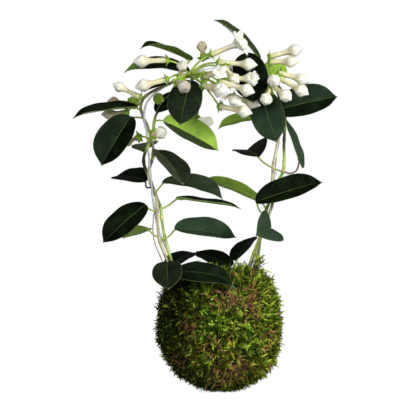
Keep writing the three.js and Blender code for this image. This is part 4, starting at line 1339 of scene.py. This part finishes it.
# Distance from the foot, or below 0 from the tip, and the radius there.
BUD_PROFILE = [(0, 0.9), (1.0, 2.7), (2.6, 3.0), (6, 2.8), (-22, 2.4), (-18, 2.8), (-15, 3.8), (-12.6, 5.4),
               (-10.4, 6.4), (-8.6, 6.3), (-6.6, 5.3), (-4.6, 3.8), (-2.6, 2.1), (-1.1, 0.9), (0, 0)]
TUBE_PROFILE = [(0, 0.9), (1.0, 2.7), (2.6, 3.0), (6, 2.8), (-11, 2.5), (-6, 3.1), (-2.5, 4.6), (0, 6.2),
                (-0.8, 4.9), (-3, 3.0), (-5, 0)]
FOOT_RINGS = 4
PETAL_MARKS = ("rise", "neck", "crease", "aged", "lit")
PETAL_COLOURS = {
    "white": (0.82, 0.82, 0.77, 1),
    "cream": (0.76, 0.76, 0.61, 1),
    "tube": (0.76, 0.73, 0.46, 1),
    "neck": (0.64, 0.56, 0.32, 1),
    "foot": (0.50, 0.52, 0.20, 1),
    "crease": (0.50, 0.47, 0.28, 1),
    "aged": (0.30, 0.22, 0.14, 1),
    "glow_white": (1, 0.98, 0.90, 1),
}
SEPAL_COLOURS = ((0.36, 0.58, 0.045, 1), (0.17, 0.34, 0.025, 1))
PEDICEL_COLOURS = ((0.42, 0.56, 0.11, 1), (0.22, 0.33, 0.050, 1))
# A closed bud has these values, and each row below says where its own bud differs: the size of its
# knob, how brown it is, how far it has opened and the size of its petals.
COMMON_BUD = dict(size=1, aged=0, opened=0, petals=1)
UMBELS = {
    "umbel_crown": dict(root=(-33, -3.4, 314.6), heart=(-30, -10, 317.5), blooms=[
        dict(foot=(-50, -15, 331), tip=(-86, -21, 329)),
        dict(foot=(-50.5, -17, 312), tip=(-84, -21, 303), aged=0.15),
        dict(foot=(-38, -14, 314), tip=(-36, -37, 328.5), aged=0.3),
        dict(foot=(-41, -25, 309), tip=(-31.5, -56, 300), aged=0.6),
        dict(foot=(-15, -4, 333), tip=(-18, 12, 352), size=1.1, aged=0.6),
        dict(foot=(-9, -12, 336), tip=(18.5, -18, 347), opened=0.6),
        dict(foot=(-2, -24, 328), tip=(38, -37, 324.6)),
        dict(foot=(-15, -17, 314), tip=(0, -42, 317), opened=0.45, petals=0.62),
        dict(foot=(4, -31, 324), tip=(19.5, -44, 306)),
        dict(foot=(6, -34, 311), tip=(40, -46, 311), opened=0.22, petals=0.95),
        dict(foot=(-1, -36, 309), tip=(35, -54, 296.4)),
        dict(foot=(-17, -20, 306), tip=(12, -44, 297), size=1.35, opened=0.3, petals=1.2),
        dict(foot=(-2, -24, 304), tip=(22, -44, 284)),
        dict(foot=(-1, -22, 285), tip=(33, -37, 277)),
        dict(foot=(12, -18, 295), tip=(41, -27, 285)),
    ]),
    "umbel_right": dict(root=(53, -3.6, 308.6), heart=(52, -9, 313), blooms=[
        dict(foot=(49, -11, 334.4), tip=(84, -15, 343), aged=0.2),
        dict(foot=(49, -16, 329), tip=(79.6, -21, 329), aged=0.2),
        dict(foot=(54, -17, 313), tip=(53.6, -50, 307.4)),
        dict(foot=(58, -13, 318.6), tip=(91, -22, 309)),
        dict(foot=(59, -18, 313), tip=(88.4, -36, 295.4)),
        dict(foot=(50, -20, 307), tip=(71, -43, 289.6)),
        dict(foot=(49, -22, 301), tip=(44.8, -50, 286.6)),
    ]),
    "umbel_left": dict(root=(-77.6, 0.9, 287.6), heart=(-81.4, 2, 289.6), blooms=[
        dict(foot=(-77.4, -8, 293.6), tip=(-106, -13, 308), size=0.85),
        dict(foot=(-89, 9, 288), tip=(-113, 22, 292), aged=0.9),
        dict(foot=(-84, 9, 290), tip=(-88, 36, 292.5), aged=0.9),
        dict(foot=(-91, 6, 280), tip=(-119, 12, 278), aged=0.35),
    ]),
    "umbel_low": dict(root=(-70, -3.9, 248), heart=(-70, -9, 252), blooms=[
        dict(foot=(-66, -12, 257), tip=(-53, -36, 259), size=1.2),
        dict(foot=(-78.4, 0, 255.6), tip=(-97, 12, 248), aged=0.5),
    ]),
    # The bud of this head is given a painted glow.
    "umbel_back": dict(root=(-18, 3.8, 315.6), heart=(-16, 13, 305), lit=1, blooms=[
        dict(foot=(-25, 26, 277), tip=(-5, 44, 270)),
    ]),
}


def stand(points, foot, direction):
    """Turns points that stand on the Z axis to a direction, and sets them on a foot."""
    turn = Vector((0, 0, 1)).rotation_difference(Vector(direction)).to_matrix()
    return points @ np.array(turn).T + foot


def bud_surface(length, size, blown):
    """A bud or an open flower's tube, with values. On a bud the five petals overlap like a screw."""
    profile = TUBE_PROFILE if blown else BUD_PROFILE
    foot, top = np.array(profile[:FOOT_RINGS]), np.array(profile[FOOT_RINGS:]) * size + (length, 0)
    rows = np.concatenate([foot, top])
    stops = measured(rows)
    even = np.linspace(0, stops[-1], BUD_RINGS)
    heights, radii = (np.interp(even, stops, column) for column in rows.T)
    radii[1:-1] = (radii[:-2] + 2 * radii[1:-1] + radii[2:]) / 4
    angles = np.arange(BUD_SIDES) / BUD_SIDES * 2 * math.pi
    knob_start = length - KNOB_LENGTH * size
    knob = ramp(heights, knob_start, knob_start + KNOB_FOOT)[:, None] * (not blown)
    twist = PETAL_COUNT * PETAL_TWIST * (heights - length)[:, None] / 5
    share = (PETAL_COUNT * angles[None, :] / (2 * math.pi) + twist) % 1
    ridge = PETAL_STEP * (share - 0.5) - CREASE_DEPTH * np.exp(-((share / CREASE_WIDTH) ** 2))
    swell = 1 + knob * ridge + TUBE_RIDGES * np.cos(PETAL_COUNT * angles)[None, :] * (1 - knob)
    ring = np.stack([np.cos(angles), np.sin(angles)], axis=-1)
    flat = ring[None] * (radii[:, None] * swell)[..., None]
    points = np.concatenate([flat, np.repeat(heights[:, None, None], BUD_SIDES, axis=1)], axis=-1)
    net = np.arange(BUD_RINGS * BUD_SIDES).reshape(BUD_RINGS, BUD_SIDES)
    a, b, c, d = net[:-1], np.roll(net[:-1], -1, axis=1), net[1:], np.roll(net[1:], -1, axis=1)
    faces = halves(np.stack([a, b, d, c], axis=-1).reshape(-1, 4))
    # Painted shade in the creases where the petals overlap.
    crease = np.exp(-((share / CREASE_LINE) ** 2)) * knob
    # The warm neck is partly the bud's own colour and partly painted warm shade.
    neck = np.exp(-(((heights - length + NECK_DEPTH * size) / (NECK_LENGTH * size)) ** 2))
    rise, neck = (np.repeat(each, BUD_SIDES) for each in (heights, neck))
    return points.reshape(-1, 3), faces, {"rise": rise, "neck": neck, "crease": crease.ravel()}


def halves(faces):
    """Each face of four corners as two triangles."""
    return np.concatenate([faces[:, [0, 1, 2]], faces[:, [0, 2, 3]]])


def sheet_body(sheet, thickness, up):
    """A closed body from a net of places, made thick along a direction."""
    shift = np.array(up) * thickness / 2
    points = np.concatenate([sheet.reshape(-1, 3) + shift, sheet.reshape(-1, 3) - shift])
    return points, np.concatenate([halves(faces) for faces in shell_faces(*sheet.shape[:2])])


def petal_lobe(turn, opened, size):
    """A lobe that rises from the tube's mouth and bends out as far as its flower is open."""
    steps = np.linspace(0, 1, LOBE_ROWS)
    along, across = np.meshgrid(steps, np.linspace(-1, 1, LOBE_COLUMNS), indexing="ij")
    start = LOBE_CLIMB - LOBE_CLIMB_LOST * opened
    curl = LOBE_CURL + LOBE_CURL_GAINED * opened
    droop = LOBE_DROOP * math.sin(3 * turn) * opened
    climb = np.radians(start - steps * curl + droop * (0.4 + steps))[:, None]
    reach = LOBE_LENGTH * size * (0.75 + 0.25 * opened) / (LOBE_ROWS - 1)
    out, up = (np.cumsum(part(climb), axis=0)[:-1] * reach for part in (np.cos, np.sin))
    out, up = (np.concatenate([[[0]], each]) for each in (out, up))
    out = out + MOUTH_RADIUS * (1 + size * (opened > OPEN_FROM))
    pointed = LOBE_BLUNTNESS + SMALL_LOBE_POINT * (size < SMALL_LOBE)
    outline = np.sin(np.clip(along * 0.9 + 0.1, 0, 1) ** 0.85 * math.pi) ** pointed
    half = LOBE_WIDTH * size * (0.7 + 0.3 * opened) / 2 * outline
    cup = (CUP_CLOSED * (1 - opened) + CUP_OPEN) * across**2
    ruffle = RUFFLE_HEIGHT * along * np.sin(across * 4 + turn * 3) * np.abs(across)
    sheet = [out - cup * np.sin(climb), across * half, up + cup * np.cos(climb) + ruffle]
    points, faces = sheet_body(np.stack(sheet, axis=-1), LOBE_THICKNESS, (-0.35, 0, 0.94))
    return points @ spin(turn), faces


def sepal(turn):
    """One pointed sepal that clasps the foot of the tube and spreads at its tip."""
    along, across = np.meshgrid(np.linspace(0, 1, 7), np.linspace(-1, 1, 5), indexing="ij")
    half = SEPAL_WIDTH / 2 * np.sin((0.2 + 0.8 * along) * math.pi) ** 0.8 + 0.08
    x = 1.4 + 2.8 * along + 3.2 * along**2.2 - 0.5 * across**2
    z = -0.8 + SEPAL_LENGTH * (0.75 * along - 0.25 * along**3)
    points, faces = sheet_body(np.stack([x, across * half, z], axis=-1), SEPAL_THICKNESS, (-0.8, 0, 0.6))
    return points @ spin(turn), faces


def petal_finish():
    """White wax, yellower down the tube and green at its foot, with a warm neck that is partly painted
    shade and with painted shade in its creases. A bud marked for it is given a painted glow, as if lit.
    """
    material, signal = new_finish("petal_wax", Roughness=0.48, Specular_IOR_Level=0.35,
                                  Subsurface_Weight=0.4, Subsurface_Scale=0.0012,
                                  Subsurface_Radius=(1.0, 0.9, 0.7), Emission_Strength=0.4)
    rise = signal.value("rise")
    colour = painted(
        PETAL_COLOURS["white"], PETAL_COLOURS,
        ("cream", signal.noise(9, detail=2).between(0.35, 0.7)),
        ("tube", (1 - rise.between(13.0, 25.0)) * 0.9),
        # The warm neck is partly the bud's own colour and partly painted warm shade.
        ("neck", signal.value("neck") * 0.7),
        ("foot", (1 - rise.between(0.0, 13.0)) * 0.85),
        # Painted shade in the creases where the petals overlap.
        ("crease", signal.value("crease") * 0.7),
        # Brown patches on the knobs of some buds.
        ("aged", signal.value("aged") * signal.noise(6, detail=3).between(0.2, 0.6)),
    )
    # Painted glow: a bud in shade gives off a little light, as if lit.
    through = signal.value("lit").mix((0, 0, 0, 1), PETAL_COLOURS["glow_white"])
    grain = signal.bump(signal.noise(1.5), 0.12)
    return wear(material, Base_Color=colour, Emission_Color=through, Normal=grain)


def bloom_parts(bloom, foot, direction, length, lit):
    """The petals with their values, and the sepals, of one bud or open flower."""
    opened = bloom["opened"]
    blown = opened > OPEN_FROM
    size = bloom["size"] * max(SMALLEST_KNOB, min(1, length / FULL_BUD_LENGTH))
    points, faces, marks = bud_surface(length, size, blown)
    petals, sepals = [(stand(points, foot, direction), faces)], []
    values = [{**marks, "aged": np.full(len(points), bloom["aged"]), "lit": np.full(len(points), lit)}]
    mouth = foot + direction * (length - (MOUTH_DEPTH if blown else KNOB_MIDDLE * size))
    look = unit(direction + np.array(OPEN_TURN) * blown)
    for i in range(PETAL_COUNT):
        turn = i / PETAL_COUNT * 2 * math.pi + FIRST_PETAL_TURN + OPEN_SPIN * blown
        points, faces = sepal(turn)
        sepals.append((stand(points, foot, direction), faces))
        if opened:
            points, faces = petal_lobe(turn, opened, bloom["petals"])
            petals.append((stand(points, mouth, look), faces))
            values.append({key: np.full(len(points), length * (key == "rise")) for key in PETAL_MARKS})
    return petals, values, sepals


def umbel_parts(umbel):
    """The petals with their values, the sepals and the stalks of an umbel, each as one mesh."""
    heart = np.array(umbel["heart"], float)
    knuckle, knuckle_faces = round_net(2)
    stalks = [rod(smooth_route([umbel["root"], heart], UMBEL_STALK_STEP), UMBEL_STALK_RADIUS, 10),
              (knuckle * KNUCKLE_RADIUS + heart, knuckle_faces)]
    petals, values, sepals = [], [], []
    for own in umbel["blooms"]:
        bloom = {**COMMON_BUD, **own}
        foot = np.array(bloom["foot"], float)
        length = np.linalg.norm(bloom["tip"] - foot)
        direction = (bloom["tip"] - foot) / length
        parts = bloom_parts(bloom, foot, direction, length, umbel.get("lit", 0))
        for whole, part in zip((petals, values, sepals), parts):
            whole.extend(part)
        rise = PEDICEL_RISE * np.linalg.norm(foot - heart)
        middle = heart + (foot - heart) * PEDICEL_BEND + (0, 0, rise)
        route = smooth_route([heart, middle, foot + direction * PEDICEL_IN_TUBE], PEDICEL_STEP)
        stalks.append(rod(route, PEDICEL_DIAMETER / 2, 8))
    marks = {key: np.concatenate([each[key] for each in values]) for key in PETAL_MARKS}
    return join_parts(petals), marks, join_parts(sepals), join_parts(stalks)


def umbels():
    petal = petal_finish()
    green = mottled_finish("sepal_green", 5, *SEPAL_COLOURS, Roughness=0.5, Specular_IOR_Level=0.4)
    stalk = mottled_finish("flower_stalk", 10, *PEDICEL_COLOURS, Roughness=0.5, Specular_IOR_Level=0.4)
    for node, umbel in UMBELS.items():
        petals, marks, sepals, stalks = umbel_parts(umbel)
        pieces = [
            mesh_piece(node + "_petals", *petals, [petal], "petal", marks),
            mesh_piece(node + "_sepals", *sepals, [green], "petal"),
            mesh_piece(node + "_stalks", *stalks, [stalk], "petal"),
        ]
        for piece in pieces:
            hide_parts(node)


umbels()
